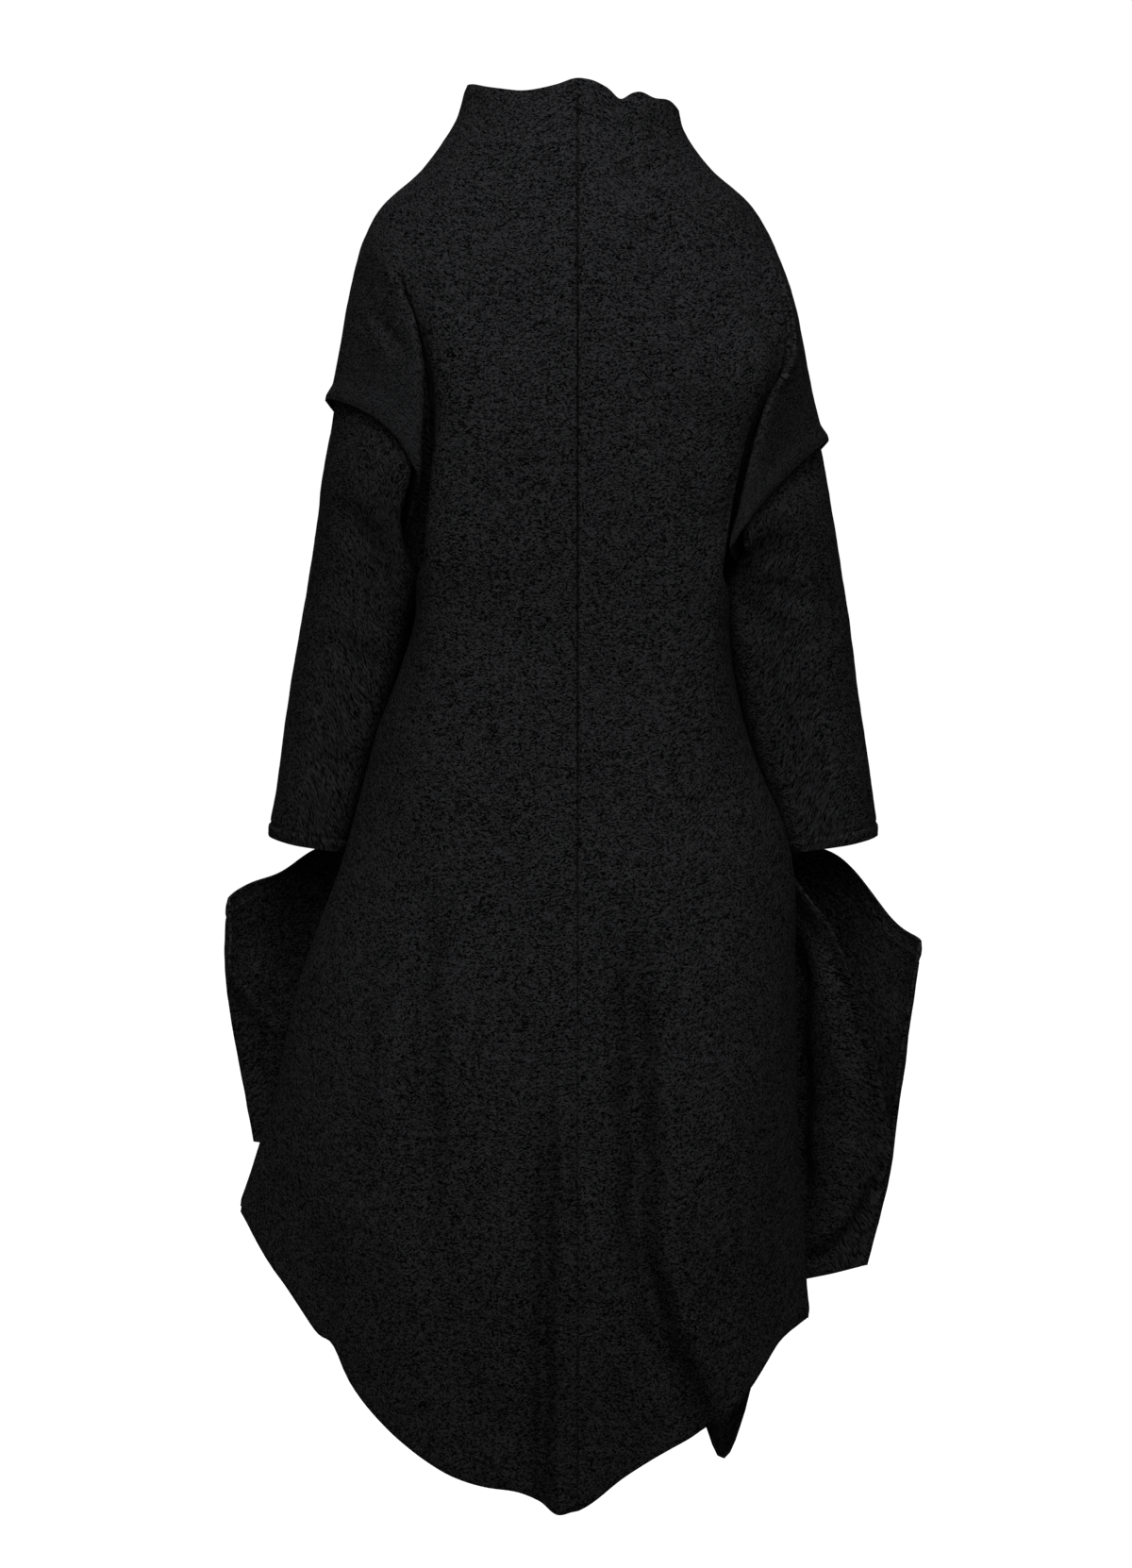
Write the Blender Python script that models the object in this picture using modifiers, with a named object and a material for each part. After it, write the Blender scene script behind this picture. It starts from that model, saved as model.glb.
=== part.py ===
"""Long funnel-neck coat of boiled wool, as eight cut pieces of cloth in the shape they take when worn.

Metres, +Z up. The wearer faces +Y and their right side is +X. The origin lies between the shoulders,
at the height where the coat rests on them.
"""

import math

import bmesh
import bpy
from mathutils import Vector

# Driving sizes
WALL = 0.0025  # thickness of the boiled wool
SEAM_GAP = 0.0003  # space between two pieces at a seam
UNDERARM_GAP = 0.009  # width of the fold's floor between body and arm
SLEEVE_SEAT = 0.0008  # from the cap's inside to the sleeve head, at the overarm seam
SLEEVE_EASE = 0.0080  # the same at the arm's crests, where the cap stands off
SLEEVE_NOSE = 0.0100  # how far the sleeve head stays out of the underarm's corner
POCKET_SEAT = 0.0014  # from the front panel to the pocket's inner edge
FRONT_LIFT = WALL + 0.0010  # the right front lies on the left one
LAP_WIDTH = 0.035  # how far each front passes the centre line
LAP_FADE = 0.050  # width over which the lapped front settles down again
BLADE = 0.7  # the shoulder-blade key point, as a share of the half width
FULLNESS = {"back": 0.82, "front": 0.70}  # depth at that point, as a share of the centre's
ARM_CREST = {"back": 0.30, "front": 0.55}  # the arm's crest, as a share of the way across the cap
PLAIN_ANGLES = (0, 34, 54, 58, 74, 90)  # key points of a section with no arm, in degrees

# Height of the arm's crest, as a share of the way from the fold up to the overarm
CREST_RISE = {
    "left": {"back": 0.72, "front": 0.66},
    "right": {"back": 0.42, "front": 0.60},
}

# Grid of each panel
LAP_STEPS = 2  # columns in the lap on either side of the centre line
STEPS_PER_KEY = 5  # columns between two key points of the body
CAP_STEPS = 3  # columns between two key points of the cap
UPPER_ROWS = 12
LOWER_ROWS = 14
SLEEVE_ROWS = 13  # below the cap's hem
POCKET_STEPS = 12
POCKET_KEYS = 4  # key steps of a pocket's section

# Places along a section, counted in key points from the centre line
SIDE = 2
OVERARM = 5

# Sections of the coat, from the neck edge down to the hem
UNDERARM, HEM = 7, 13

WOOL = (0.0085, 0.0087, 0.0095, 1.0)
WOOL_ROUGHNESS = 0.95


def table(columns, *rows):
    """A size table: each row as a dictionary under the names of its columns."""
    names = columns.split()
    return [dict(zip(names, row)) for row in rows]


# Centre line, a row per section
CENTRE = table(
    "section back_z back_y front_z front_y",
    ("neck edge", 0.089, -0.062, 0.076, 0.078),
    ("neck base", 0.057, -0.068, 0.046, 0.084),
    ("shoulder slope", 0.012, -0.084, 0.006, 0.094),
    ("shoulder", -0.033, -0.100, -0.037, 0.104),
    ("blade", -0.078, -0.111, -0.080, 0.114),
    ("chest", -0.144, -0.119, -0.145, 0.125),
    ("arm", -0.217, -0.121, -0.217, 0.129),
    ("underarm", -0.303, -0.118, -0.303, 0.125),
    ("waist", -0.390, -0.109, -0.390, 0.117),
    ("high hip", -0.510, -0.117, -0.503, 0.121),
    ("hip", -0.648, -0.139, -0.634, 0.133),
    ("thigh", -0.793, -0.162, -0.764, 0.145),
    ("skirt", -0.953, -0.174, -0.902, 0.151),
    ("hem", -1.130, -0.150, -1.036, 0.140),
)

# Fold between body and arm, which runs on as the side seam: a row per section
SIDE_LINE = {
    "left": table(
        "x z y depth",
        (0.077, 0.093, 0.010, 0.00),
        (0.087, 0.058, 0.008, 0.00),
        (0.110, 0.016, 0.004, 0.00),
        (0.138, -0.024, 0.000, 0.00),
        (0.146, -0.068, -0.004, 0.06),
        (0.134, -0.127, -0.008, 0.32),
        (0.127, -0.201, -0.010, 0.64),
        (0.135, -0.312, -0.010, 1.00),
        (0.141, -0.380, -0.006, 1.00),
        (0.172, -0.472, -0.004, 1.00),
        (0.200, -0.574, -0.010, 1.00),
        (0.236, -0.677, -0.020, 1.00),
        (0.265, -0.791, -0.026, 1.00),
        (0.291, -0.879, -0.024, 1.00),
    ),
    "right": table(
        "x z y depth",
        (0.071, 0.080, 0.010, 0.00),
        (0.075, 0.054, 0.008, 0.00),
        (0.095, 0.016, 0.006, 0.00),
        (0.124, -0.024, 0.004, 0.00),
        (0.152, -0.078, 0.002, 0.00),
        (0.168, -0.144, 0.002, 0.20),
        (0.149, -0.217, 0.004, 0.56),
        (0.125, -0.322, 0.006, 1.00),
        (0.126, -0.398, 0.004, 1.00),
        (0.148, -0.480, 0.000, 1.00),
        (0.182, -0.570, -0.008, 1.00),
        (0.187, -0.685, -0.016, 1.00),
        (0.189, -0.824, -0.022, 1.00),
        (0.199, -0.976, -0.020, 1.00),
    ),
}

# Overarm seam and the arm's crests, from the neck edge to the cap's hem. The weight says how far
# a section has turned from one plain curve into a body with an arm beside it.
ARM_LINE = {
    "left": table(
        "weight x z y back_y front_y",
        (0.00, 0.095, 0.090, 0.010, -0.030, 0.045),
        (0.00, 0.105, 0.060, 0.008, -0.035, 0.050),
        (0.00, 0.132, 0.021, 0.004, -0.050, 0.060),
        (0.05, 0.167, -0.012, 0.000, -0.070, 0.072),
        (0.40, 0.185, -0.045, -0.004, -0.086, 0.080),
        (0.85, 0.196, -0.094, -0.008, -0.095, 0.084),
        (1.00, 0.205, -0.144, -0.010, -0.099, 0.084),
        (1.00, 0.213, -0.181, -0.010, -0.098, 0.080),
    ),
    "right": table(
        "weight x z y back_y front_y",
        (0.00, 0.088, 0.066, 0.010, -0.030, 0.045),
        (0.00, 0.091, 0.052, 0.008, -0.032, 0.050),
        (0.00, 0.113, 0.021, 0.006, -0.040, 0.060),
        (0.00, 0.149, -0.012, 0.004, -0.048, 0.072),
        (0.30, 0.172, -0.053, 0.002, -0.054, 0.084),
        (0.80, 0.189, -0.103, 0.002, -0.058, 0.090),
        (1.00, 0.201, -0.164, 0.004, -0.064, 0.093),
        (1.00, 0.213, -0.209, 0.006, -0.067, 0.092),
    ),
}

# Lower sleeves, a row per ring from the cap's hem to the cuff: heights on the outer and the inner
# side, reach of the outer side, width across, middle and depth front to back
SLEEVES = {
    "left": table(
        "out_z in_z out_x width mid_y depth",
        (-0.185, -0.312, 0.2085, 0.056, -0.008, 0.148),
        (-0.240, -0.345, 0.2185, 0.076, 0.018, 0.146),
        (-0.308, -0.385, 0.2285, 0.085, 0.040, 0.152),
        (-0.373, -0.425, 0.2390, 0.082, 0.055, 0.156),
        (-0.455, -0.480, 0.2525, 0.077, 0.065, 0.150),
        (-0.521, -0.533, 0.2615, 0.072, 0.070, 0.144),
        (-0.564, -0.572, 0.2680, 0.069, 0.074, 0.140),
    ),
    "right": table(
        "out_z in_z out_x width mid_y depth",
        (-0.213, -0.330, 0.2085, 0.062, 0.013, 0.136),
        (-0.267, -0.370, 0.2170, 0.088, 0.034, 0.140),
        (-0.332, -0.402, 0.2280, 0.098, 0.050, 0.150),
        (-0.398, -0.445, 0.2385, 0.099, 0.062, 0.150),
        (-0.463, -0.492, 0.2480, 0.094, 0.069, 0.146),
        (-0.521, -0.536, 0.2560, 0.086, 0.074, 0.142),
        (-0.563, -0.571, 0.2610, 0.079, 0.077, 0.138),
    ),
}

# Pockets, a row from the mouth down to the bottom: the folded outer edge, how far the two walls
# belly out from it and rise above a straight line to it, and where the front wall lands on the front
# panel, in key points
POCKETS = {
    "left": table(
        "x y z back_belly back_rise front_belly front_rise landing",
        (0.303, 0.050, -0.614, 0.020, 0.020, 0.050, 0.026, 1.00),
        (0.306, 0.050, -0.668, 0.024, 0.006, 0.046, 0.013, 1.10),
        (0.300, 0.048, -0.722, 0.022, 0.000, 0.036, 0.005, 1.22),
        (0.290, 0.046, -0.778, 0.016, 0.000, 0.024, 0.000, 1.36),
        (0.281, 0.046, -0.826, 0.006, 0.000, 0.010, 0.000, 1.52),
    ),
    "right": table(
        "x y z back_belly back_rise front_belly front_rise landing",
        (0.299, 0.046, -0.652, 0.026, 0.002, 0.050, 0.046, 1.00),
        (0.291, 0.046, -0.722, 0.030, 0.002, 0.048, 0.028, 1.08),
        (0.281, 0.046, -0.792, 0.028, 0.000, 0.040, 0.012, 1.20),
        (0.270, 0.044, -0.862, 0.020, 0.000, 0.026, 0.000, 1.34),
        (0.252, 0.042, -0.934, 0.006, 0.000, 0.010, 0.000, 1.50),
    ),
}
POCKET_ROWS = {"left": (7, 12), "right": (7, 13)}  # rows of the panel's lower grid that it spans
POCKET_DIP = 1.0  # how much lower the mouth is at the back, in rows
POCKET_START = 1.8  # where the back wall leaves the front panel, in key points
POCKET_BELLY = 0.55  # where the walls belly out most, as a share of the way to the folded edge

# Largest folds of the skirt, a row per fold: where it lies across the half width at the hip and at
# the hem, its depth at the hem (a trough is negative), its width and the section where it begins
SKIRT_FOLDS = {
    ("left", "back"): table(
        "hip hem depth width begins",
        (0.10, 0.07, -0.006, 0.030, 9),
        (0.50, 0.44, -0.008, 0.034, 9),
    ),
    ("right", "back"): table(
        "hip hem depth width begins",
        (0.24, 0.52, -0.022, 0.040, 9),
        (0.58, 0.80, 0.004, 0.040, 10),
    ),
    ("left", "front"): table(
        "hip hem depth width begins",
        (0.52, 0.58, -0.012, 0.036, 9),
    ),
    ("right", "front"): table(
        "hip hem depth width begins",
        (0.56, 0.62, -0.012, 0.034, 9),
    ),
}

# Rise of the hem from the centre to the side seam, at even steps across the half width
HEM_RISE = table(
    "left right",
    (0.000, 0.000),
    (0.055, 0.165),
    (0.130, 0.330),
    (0.330, 0.490),
    (0.655, 0.720),
    (1.000, 1.000),
)

# Point of the front hem: its place across the half width, its drop and its spread
HEM_TIP = {"left": (0.52, 0.090), "right": (0.65, 0.112)}
TIP_SPREAD = 0.22

SIGN = {"left": -1, "right": 1}
FACING = {"back": -1, "front": 1}
OTHER_SIDE = {"left": "right", "right": "left"}
OTHER_FACE = {"back": "front", "front": "back"}


def mix(start, end, share):
    return start + (end - start) * share


def smooth_step(value):
    value = min(max(value, 0.0), 1.0)
    return value * value * (3 - 2 * value)


def curve_between(before, start, end, after, share):
    """Smooth curve from start to end, led by the values on either side of them."""
    lead_in = (end - before) / 2
    lead_out = (after - start) / 2
    square = share * share
    cube = square * share
    return (
        start * (2 * cube - 3 * square + 1)
        + lead_in * (cube - 2 * square + share)
        + end * (3 * square - 2 * cube)
        + lead_out * (cube - square)
    )


def size_at(rows, column, place):
    """A table's column at a place between its rows."""
    last = len(rows) - 1
    low = min(int(place), last - 1)
    near = [rows[min(max(low + step, 0), last)][column] for step in (-1, 0, 1, 2)]
    return curve_between(*near, place - low)


def along_keys(keys, place):
    """Point on a smooth curve through the keys between the first and the last one.

    The tangent at a key weighs the two neighbouring chords by their lengths, so that a short chord
    beside a long one makes no loop.
    """
    low = min(int(place), len(keys) - 4)
    before, start, end, after = keys[low : low + 4]
    chord = (end - start).length
    chord_in = (start - before).length
    chord_out = (after - end).length
    slope = (end - start) / chord
    lead_in = (slope * chord_in + (start - before) / chord_in * chord) / (chord + chord_in)
    lead_out = (slope * chord_out + (after - end) / chord_out * chord) / (chord + chord_out)
    share = place - low
    square = share * share
    cube = square * share
    return (
        start * (2 * cube - 3 * square + 1)
        + lead_in * chord * (cube - 2 * square + share)
        + end * (3 * square - 2 * cube)
        + lead_out * chord * (cube - square)
    )


def upper_keys(side, face, section):
    """Key points of a section above the underarm: centre, blade, fold, arm, crest and overarm."""
    centre_z = size_at(CENTRE, face + "_z", section)
    centre_y = size_at(CENTRE, face + "_y", section)
    fold = {name: size_at(SIDE_LINE[side], name, section) for name in ("x", "z", "depth")}
    arm = {name: size_at(ARM_LINE[side], name, section) for name in ("weight", "x", "z", "y")}
    crest_y = size_at(ARM_LINE[side], face + "_y", section)
    blade_y = mix(arm["y"], centre_y, FULLNESS[face])
    fold_y = mix((blade_y + crest_y) / 2, arm["y"], fold["depth"])
    inner_x = fold["x"] + UNDERARM_GAP
    crest_x = mix(inner_x, arm["x"], ARM_CREST[face])
    crest_z = mix(fold["z"], arm["z"], CREST_RISE[side][face])
    shaped = (
        Vector((0, centre_y, centre_z)),
        Vector((BLADE * fold["x"], blade_y, mix(centre_z, fold["z"], BLADE**2))),
        Vector((fold["x"], fold_y, fold["z"])),
        Vector((inner_x, fold_y, fold["z"])),
        Vector((crest_x, crest_y, crest_z)),
        Vector((arm["x"], arm["y"], arm["z"])),
    )
    keys = []
    for angle, point in zip(PLAIN_ANGLES, shaped):
        across = math.sin(math.radians(angle))
        deep = math.cos(math.radians(angle))
        plain = Vector(
            (
                arm["x"] * across,
                mix(arm["y"], centre_y, deep),
                mix(centre_z, arm["z"], across**2),
            )
        )
        keys.append(plain.lerp(point, smooth_step(arm["weight"])))
    return keys


def lower_keys(side, face, section):
    """Key points of a section below the underarm: centre, side of the back or front, side seam."""
    centre_y = size_at(CENTRE, face + "_y", section)
    seam_x = size_at(SIDE_LINE[side], "x", section)
    seam_y = size_at(SIDE_LINE[side], "y", section)
    return [
        Vector((0, centre_y, 0)),
        Vector((BLADE * seam_x, mix(seam_y, centre_y, FULLNESS[face]), 0)),
        Vector((seam_x, seam_y, 0)),
    ]


def mirrored(point):
    return Vector((-point.x, point.y, point.z))


def hem_share(side, across):
    """How far the hem has risen from the centre to the side seam, at a place across the half width."""
    return size_at(HEM_RISE, side, across * (len(HEM_RISE) - 1))


def lower_height(side, face, section, across):
    centre_z = size_at(CENTRE, face + "_z", section)
    seam_z = size_at(SIDE_LINE[side], "z", section)
    way_down = (section - UNDERARM) / (HEM - UNDERARM)
    height = mix(centre_z, seam_z, mix(across**2, hem_share(side, across), way_down))
    if face == "front":
        place, drop = HEM_TIP[side]
        point = smooth_step(1 - abs(across - place) / TIP_SPREAD)
        height -= drop * point * smooth_step(way_down * 2 - 1)
    return height


def fold_depth(side, face, section, across, half_width):
    """Height of the skirt's folds above the plain section."""
    height = 0.0
    for fold in SKIRT_FOLDS[side, face]:
        way_down = (section - fold["begins"]) / (HEM - fold["begins"])
        if way_down <= 0:
            continue
        middle = mix(fold["hip"], fold["hem"], way_down**2)
        reach = (across - middle) * half_width / fold["width"]
        height += fold["depth"] * smooth_step(way_down) * math.exp(-reach * reach)
    return height


def panel_point(side, face, section, place):
    """Inside of the cloth at a section and a place along it, with the side's own sign on X."""
    if place < 0:
        return panel_point(OTHER_SIDE[side], face, section, -place)
    if section <= UNDERARM:
        keys = upper_keys(side, face, section)
        beyond = upper_keys(side, OTHER_FACE[face], section)[OVERARM - 1]
        point = along_keys([mirrored(keys[1])] + keys + [beyond], place)
    else:
        keys = lower_keys(side, face, section)
        across_underarm = keys[SIDE] + Vector((UNDERARM_GAP, 0, 0))
        around = lower_keys(side, OTHER_FACE[face], section)[1]
        beyond = across_underarm.lerp(around, smooth_step(section - UNDERARM))
        point = along_keys([mirrored(keys[1])] + keys + [beyond], place)
        half_width = keys[SIDE].x
        across = min(point.x / half_width, 1.0)
        point.z = lower_height(side, face, section, across)
        outward = Vector((point.x, point.y - keys[SIDE].y, 0)).normalized()
        point += outward * fold_depth(side, face, section, across, half_width)
    return Vector((point.x * SIGN[side], point.y, point.z))


def lap_place(side, section):
    """Place along a front section that lies a lap's width from the centre line."""
    keys = upper_keys if section <= UNDERARM else lower_keys
    return LAP_WIDTH / keys(side, "front", section)[1].x


def panel_places(side, face, section):
    """Places along a section at which the panel has its columns."""
    inner = [step / STEPS_PER_KEY for step in range(STEPS_PER_KEY)]
    outer = [1 + step / STEPS_PER_KEY for step in range(STEPS_PER_KEY + 1)]
    cap = [SIDE + 1 + step / CAP_STEPS for step in range((OVERARM - SIDE - 1) * CAP_STEPS + 1)]
    if face == "front":
        own_lap = lap_place(side, section)
        under_lap = lap_place(OTHER_SIDE[side], section)
        free_steps = STEPS_PER_KEY - LAP_STEPS
        inner = [-under_lap * (LAP_STEPS - step) / LAP_STEPS for step in range(LAP_STEPS)]
        inner += [own_lap * step / LAP_STEPS for step in range(LAP_STEPS)]
        inner += [mix(own_lap, 1, step / free_steps) for step in range(free_steps)]
    return inner + outer + cap


def lower_section(row):
    return mix(UNDERARM, HEM, row / LOWER_ROWS)


def panel_sections():
    upper = [UNDERARM * row / UPPER_ROWS for row in range(UPPER_ROWS)]
    return upper + [lower_section(row) for row in range(LOWER_ROWS + 1)]


def seamed_point(side, face, section, place):
    """Panel point with half the seam's gap left at the edges that are sewn."""
    point = panel_point(side, face, section, place)
    if place == 0 and face == "back":
        point.x = SIGN[side] * SEAM_GAP / 2
    if place == OVERARM or (section >= UNDERARM and place >= SIDE):
        point.y += FACING[face] * SEAM_GAP / 2
    if side == "right" and face == "front":
        point.y += FRONT_LIFT * smooth_step(1 - (point.x - LAP_WIDTH) / LAP_FADE)
    return point


def grid_mesh(columns, rows):
    """Flat grid of faces, with its columns and rows counted on each vertex."""
    mesh = bmesh.new()
    bmesh.ops.create_grid(mesh, x_segments=columns, y_segments=rows, size=0.5)
    for vertex in mesh.verts:
        column = round((vertex.co.x + 0.5) * columns)
        row = round((vertex.co.y + 0.5) * rows)
        vertex.co = (column, row, 0)
    return mesh


def cloth_object(name, mesh, outward, collection):
    """Object of cloth: the sheet with its thickness on the side that the outward function gives."""
    bmesh.ops.recalc_face_normals(mesh, faces=mesh.faces)
    lean = sum(face.normal.dot(outward(face.calc_center_median())) for face in mesh.faces)
    if lean < 0:
        bmesh.ops.reverse_faces(mesh, faces=mesh.faces)
    data = bpy.data.meshes.new(name)
    mesh.to_mesh(data)
    mesh.free()
    data.shade_smooth()
    material = bpy.data.materials.new(name + "_wool")
    material.use_nodes = True
    shader = material.node_tree.nodes["Principled BSDF"]
    shader.inputs["Base Color"].default_value = WOOL
    shader.inputs["Roughness"].default_value = WOOL_ROUGHNESS
    shader.inputs["Metallic"].default_value = 0.0
    data.materials.append(material)
    cloth = bpy.data.objects.new(name, data)
    collection.objects.link(cloth)
    wall = cloth.modifiers.new("wall", "SOLIDIFY")
    wall.thickness = WALL
    wall.offset = 1.0
    return cloth


def from_body_axis(point):
    return Vector((point.x, point.y, 0))


def make_panel(side, face, collection):
    """Front or back: body columns run to the hem, the cap's columns end at the underarm."""
    sections = panel_sections()
    places = [panel_places(side, face, section) for section in sections]
    mesh = grid_mesh(len(places[0]) - 1, len(sections) - 1)
    below_cap = []
    for vertex in mesh.verts:
        row = round(vertex.co.y)
        place = places[row][round(vertex.co.x)]
        if place > SIDE and sections[row] > UNDERARM:
            below_cap.append(vertex)
        else:
            vertex.co = seamed_point(side, face, sections[row], place)
    bmesh.ops.delete(mesh, geom=below_cap, context="VERTS")
    return cloth_object(f"{face}_{side}", mesh, from_body_axis, collection)


def head_point(side, section, turn):
    """Sleeve head: the cap's inside moved in, by quarter turns from the overarm round the back."""
    face = "back" if turn <= 2 else "front"
    place = OVERARM - min(turn, 4 - turn)
    point = panel_point(side, face, section, place)
    if turn == 2:
        across = panel_point(side, OTHER_FACE[face], section, place)
        return point.lerp(across, 0.5) + Vector((SIGN[side] * SLEEVE_NOSE, 0, 0))
    overarm = panel_point(side, face, section, OVERARM)
    if turn in (0, 4):
        inward = Vector((-SIGN[side], 0, 0))
    else:
        step = 1 / CAP_STEPS
        ahead = panel_point(side, face, section, place + step)
        behind = panel_point(side, face, section, place - step)
        inward = Vector((ahead.y - behind.y, behind.x - ahead.x, 0)).normalized()
        if inward.dot(Vector((0, overarm.y - point.y, 0))) < 0:
            inward = -inward
    ease = mix(SLEEVE_SEAT, SLEEVE_EASE, abs(math.sin(math.pi / 2 * turn)))
    return point + inward * (WALL + ease)


def ring_point(side, place, turn):
    """Lower sleeve: an oval ring, by quarter turns from its outer side round the back."""
    ring = {name: size_at(SLEEVES[side], name, place) for name in SLEEVES[side][0]}
    outward = math.cos(math.pi / 2 * turn)
    backward = math.sin(math.pi / 2 * turn)
    middle_x = ring["out_x"] - ring["width"] / 2
    return Vector(
        (
            SIGN[side] * (middle_x + outward * ring["width"] / 2),
            ring["mid_y"] - backward * ring["depth"] / 2,
            mix(ring["in_z"], ring["out_z"], (1 + outward) / 2),
        )
    )


def sleeve_point(side, row, turn):
    """Row 0 lies inside the cap, row 1 at its hem, and the last row is the cuff."""
    if row <= 1:
        head_row = UPPER_ROWS - 1 + row
        return head_point(side, UNDERARM * head_row / UPPER_ROWS, turn)
    place = (row - 1) * (len(SLEEVES[side]) - 1) / SLEEVE_ROWS
    hem = head_point(side, UNDERARM, turn)
    return hem.lerp(ring_point(side, place, turn), smooth_step(place))


def make_sleeve(side, collection):
    ring_steps = 4 * CAP_STEPS
    mesh = grid_mesh(ring_steps, SLEEVE_ROWS + 1)
    for vertex in mesh.verts:
        vertex.co = sleeve_point(side, round(vertex.co.y), 4 * vertex.co.x / ring_steps)
    bmesh.ops.remove_doubles(mesh, verts=mesh.verts, dist=0.0001)
    middle = sum((vertex.co for vertex in mesh.verts), Vector()) / len(mesh.verts)

    def from_sleeve_axis(point):
        return Vector((point.x - middle.x, point.y - middle.y, 0))

    return cloth_object(f"sleeve_{side}", mesh, from_sleeve_axis, collection)


def landing_point(side, section, place):
    """Point on the front panel's outside, with the pocket's seat left clear."""
    step = 1 / STEPS_PER_KEY
    low = math.floor(place / step) * step
    edge_start = panel_point(side, "front", section, low)
    edge_end = panel_point(side, "front", section, low + step)
    point = edge_start.lerp(edge_end, (place - low) / step)
    along = edge_end - edge_start
    outward = Vector((along.y, -along.x, 0)).normalized()
    if outward.x * SIGN[side] < 0:
        outward = -outward
    return point + outward * (WALL + POCKET_SEAT)


def pocket_point(side, share, place):
    """Pocket: from the side of the front panel out to the folded edge and back to the front."""
    rows = POCKETS[side]
    row = share * (len(rows) - 1)
    edge = {name: size_at(rows, name, row) for name in rows[0]}
    first_row, last_row = POCKET_ROWS[side]
    back_section = lower_section(mix(first_row + POCKET_DIP, last_row, share))
    front_section = lower_section(mix(first_row, last_row, share))
    start = landing_point(side, back_section, POCKET_START)
    end = landing_point(side, front_section, edge["landing"])
    fold = Vector((SIGN[side] * edge["x"], edge["y"], edge["z"]))
    back = start.lerp(fold, POCKET_BELLY) + Vector((0, -edge["back_belly"], edge["back_rise"]))
    front = end.lerp(fold, POCKET_BELLY) + Vector((0, edge["front_belly"], edge["front_rise"]))
    keys = [start - (back - start), start, back, fold, front, end, end + (end - front)]
    return along_keys(keys, place)


def make_pocket(side, collection):
    first_row, last_row = POCKET_ROWS[side]
    rows = last_row - first_row
    mesh = grid_mesh(POCKET_STEPS, rows)
    for vertex in mesh.verts:
        vertex.co = pocket_point(side, vertex.co.y / rows, POCKET_KEYS * vertex.co.x / POCKET_STEPS)
    return cloth_object(f"pocket_{side}", mesh, from_body_axis, collection)


def main():
    for item in list(bpy.data.objects):
        bpy.data.objects.remove(item)
    collection = bpy.data.collections.new("long_coat")
    bpy.context.scene.collection.children.link(collection)
    for side in ("left", "right"):
        make_panel(side, "back", collection)
        make_panel(side, "front", collection)
        make_sleeve(side, collection)
        make_pocket(side, collection)


main()
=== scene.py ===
# %% [markdown]
# # A long coat of boiled wool
# The coat is seen from behind, filled out as if it were worn. Eight pieces of cloth make it: two backs
# and two fronts with the neck and the capped shoulders cut in one, two lower sleeves and two standing
# pockets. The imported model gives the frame, so this lesson only has to turn each plain solid into cloth:
# its creases, its rolled edges, its stitching and its felted surface.

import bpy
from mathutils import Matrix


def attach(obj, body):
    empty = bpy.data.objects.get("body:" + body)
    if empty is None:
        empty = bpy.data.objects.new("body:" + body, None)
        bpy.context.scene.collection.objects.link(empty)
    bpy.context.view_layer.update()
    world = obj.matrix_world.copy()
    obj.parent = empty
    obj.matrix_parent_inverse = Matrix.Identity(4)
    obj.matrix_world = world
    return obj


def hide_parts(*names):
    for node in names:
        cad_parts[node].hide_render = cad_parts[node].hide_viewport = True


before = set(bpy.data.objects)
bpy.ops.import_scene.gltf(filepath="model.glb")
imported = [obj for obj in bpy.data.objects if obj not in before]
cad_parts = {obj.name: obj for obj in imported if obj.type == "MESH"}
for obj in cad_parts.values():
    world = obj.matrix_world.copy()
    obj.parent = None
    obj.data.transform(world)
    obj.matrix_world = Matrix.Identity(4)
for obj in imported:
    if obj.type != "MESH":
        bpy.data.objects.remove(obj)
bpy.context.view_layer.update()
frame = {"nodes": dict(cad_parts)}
print("nodes in the frame:", ", ".join(frame["nodes"]))

# %% [markdown]
# ## The form of the coat
# A pattern cutter thinks of a coat as a few measured sections, and the drape as smooth curves through
# them. The tables below hold those sections in metres, with the origin between the shoulders, +Z up and
# the back towards -Y. Sculpting by hand would give no sizes to check. Loose points would give no smooth
# cloth. So each section is a curve through a few key points, and numpy works out a whole row at a time.

# %% Tools for tables and curves
import math

import bmesh
import bpy
import numpy as np
from mathutils import Matrix, Vector, noise


def table(columns, *rows):
    """A size table: each row as a dictionary under the names of its columns."""
    names = columns.split()
    return [dict(zip(names, row)) for row in rows]


def mix(start, end, share):
    return start + (end - start) * share


def smooth_step(value):
    value = np.clip(value, 0.0, 1.0)
    return value * value * (3 - 2 * value)


def hermite(start, lead_in, end, lead_out, share):
    """Smooth curve from start to end that leaves and arrives along the two leads."""
    square = share * share
    cube = square * share
    return (
        start * (2 * cube - 3 * square + 1)
        + lead_in * (cube - 2 * square + share)
        + end * (3 * square - 2 * cube)
        + lead_out * (cube - square)
    )


def size_at(rows, column, place):
    """A table's column at one or many places between its rows."""
    values = np.array([row[column] for row in rows])
    last = len(values) - 1
    place = np.asarray(place, dtype=float)
    low = np.clip(place.astype(int), 0, last - 1)
    before, start, end, after = (values[np.clip(low + step, 0, last)] for step in (-1, 0, 1, 2))
    return hermite(start, (end - before) / 2, end, (after - start) / 2, place - low)


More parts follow.
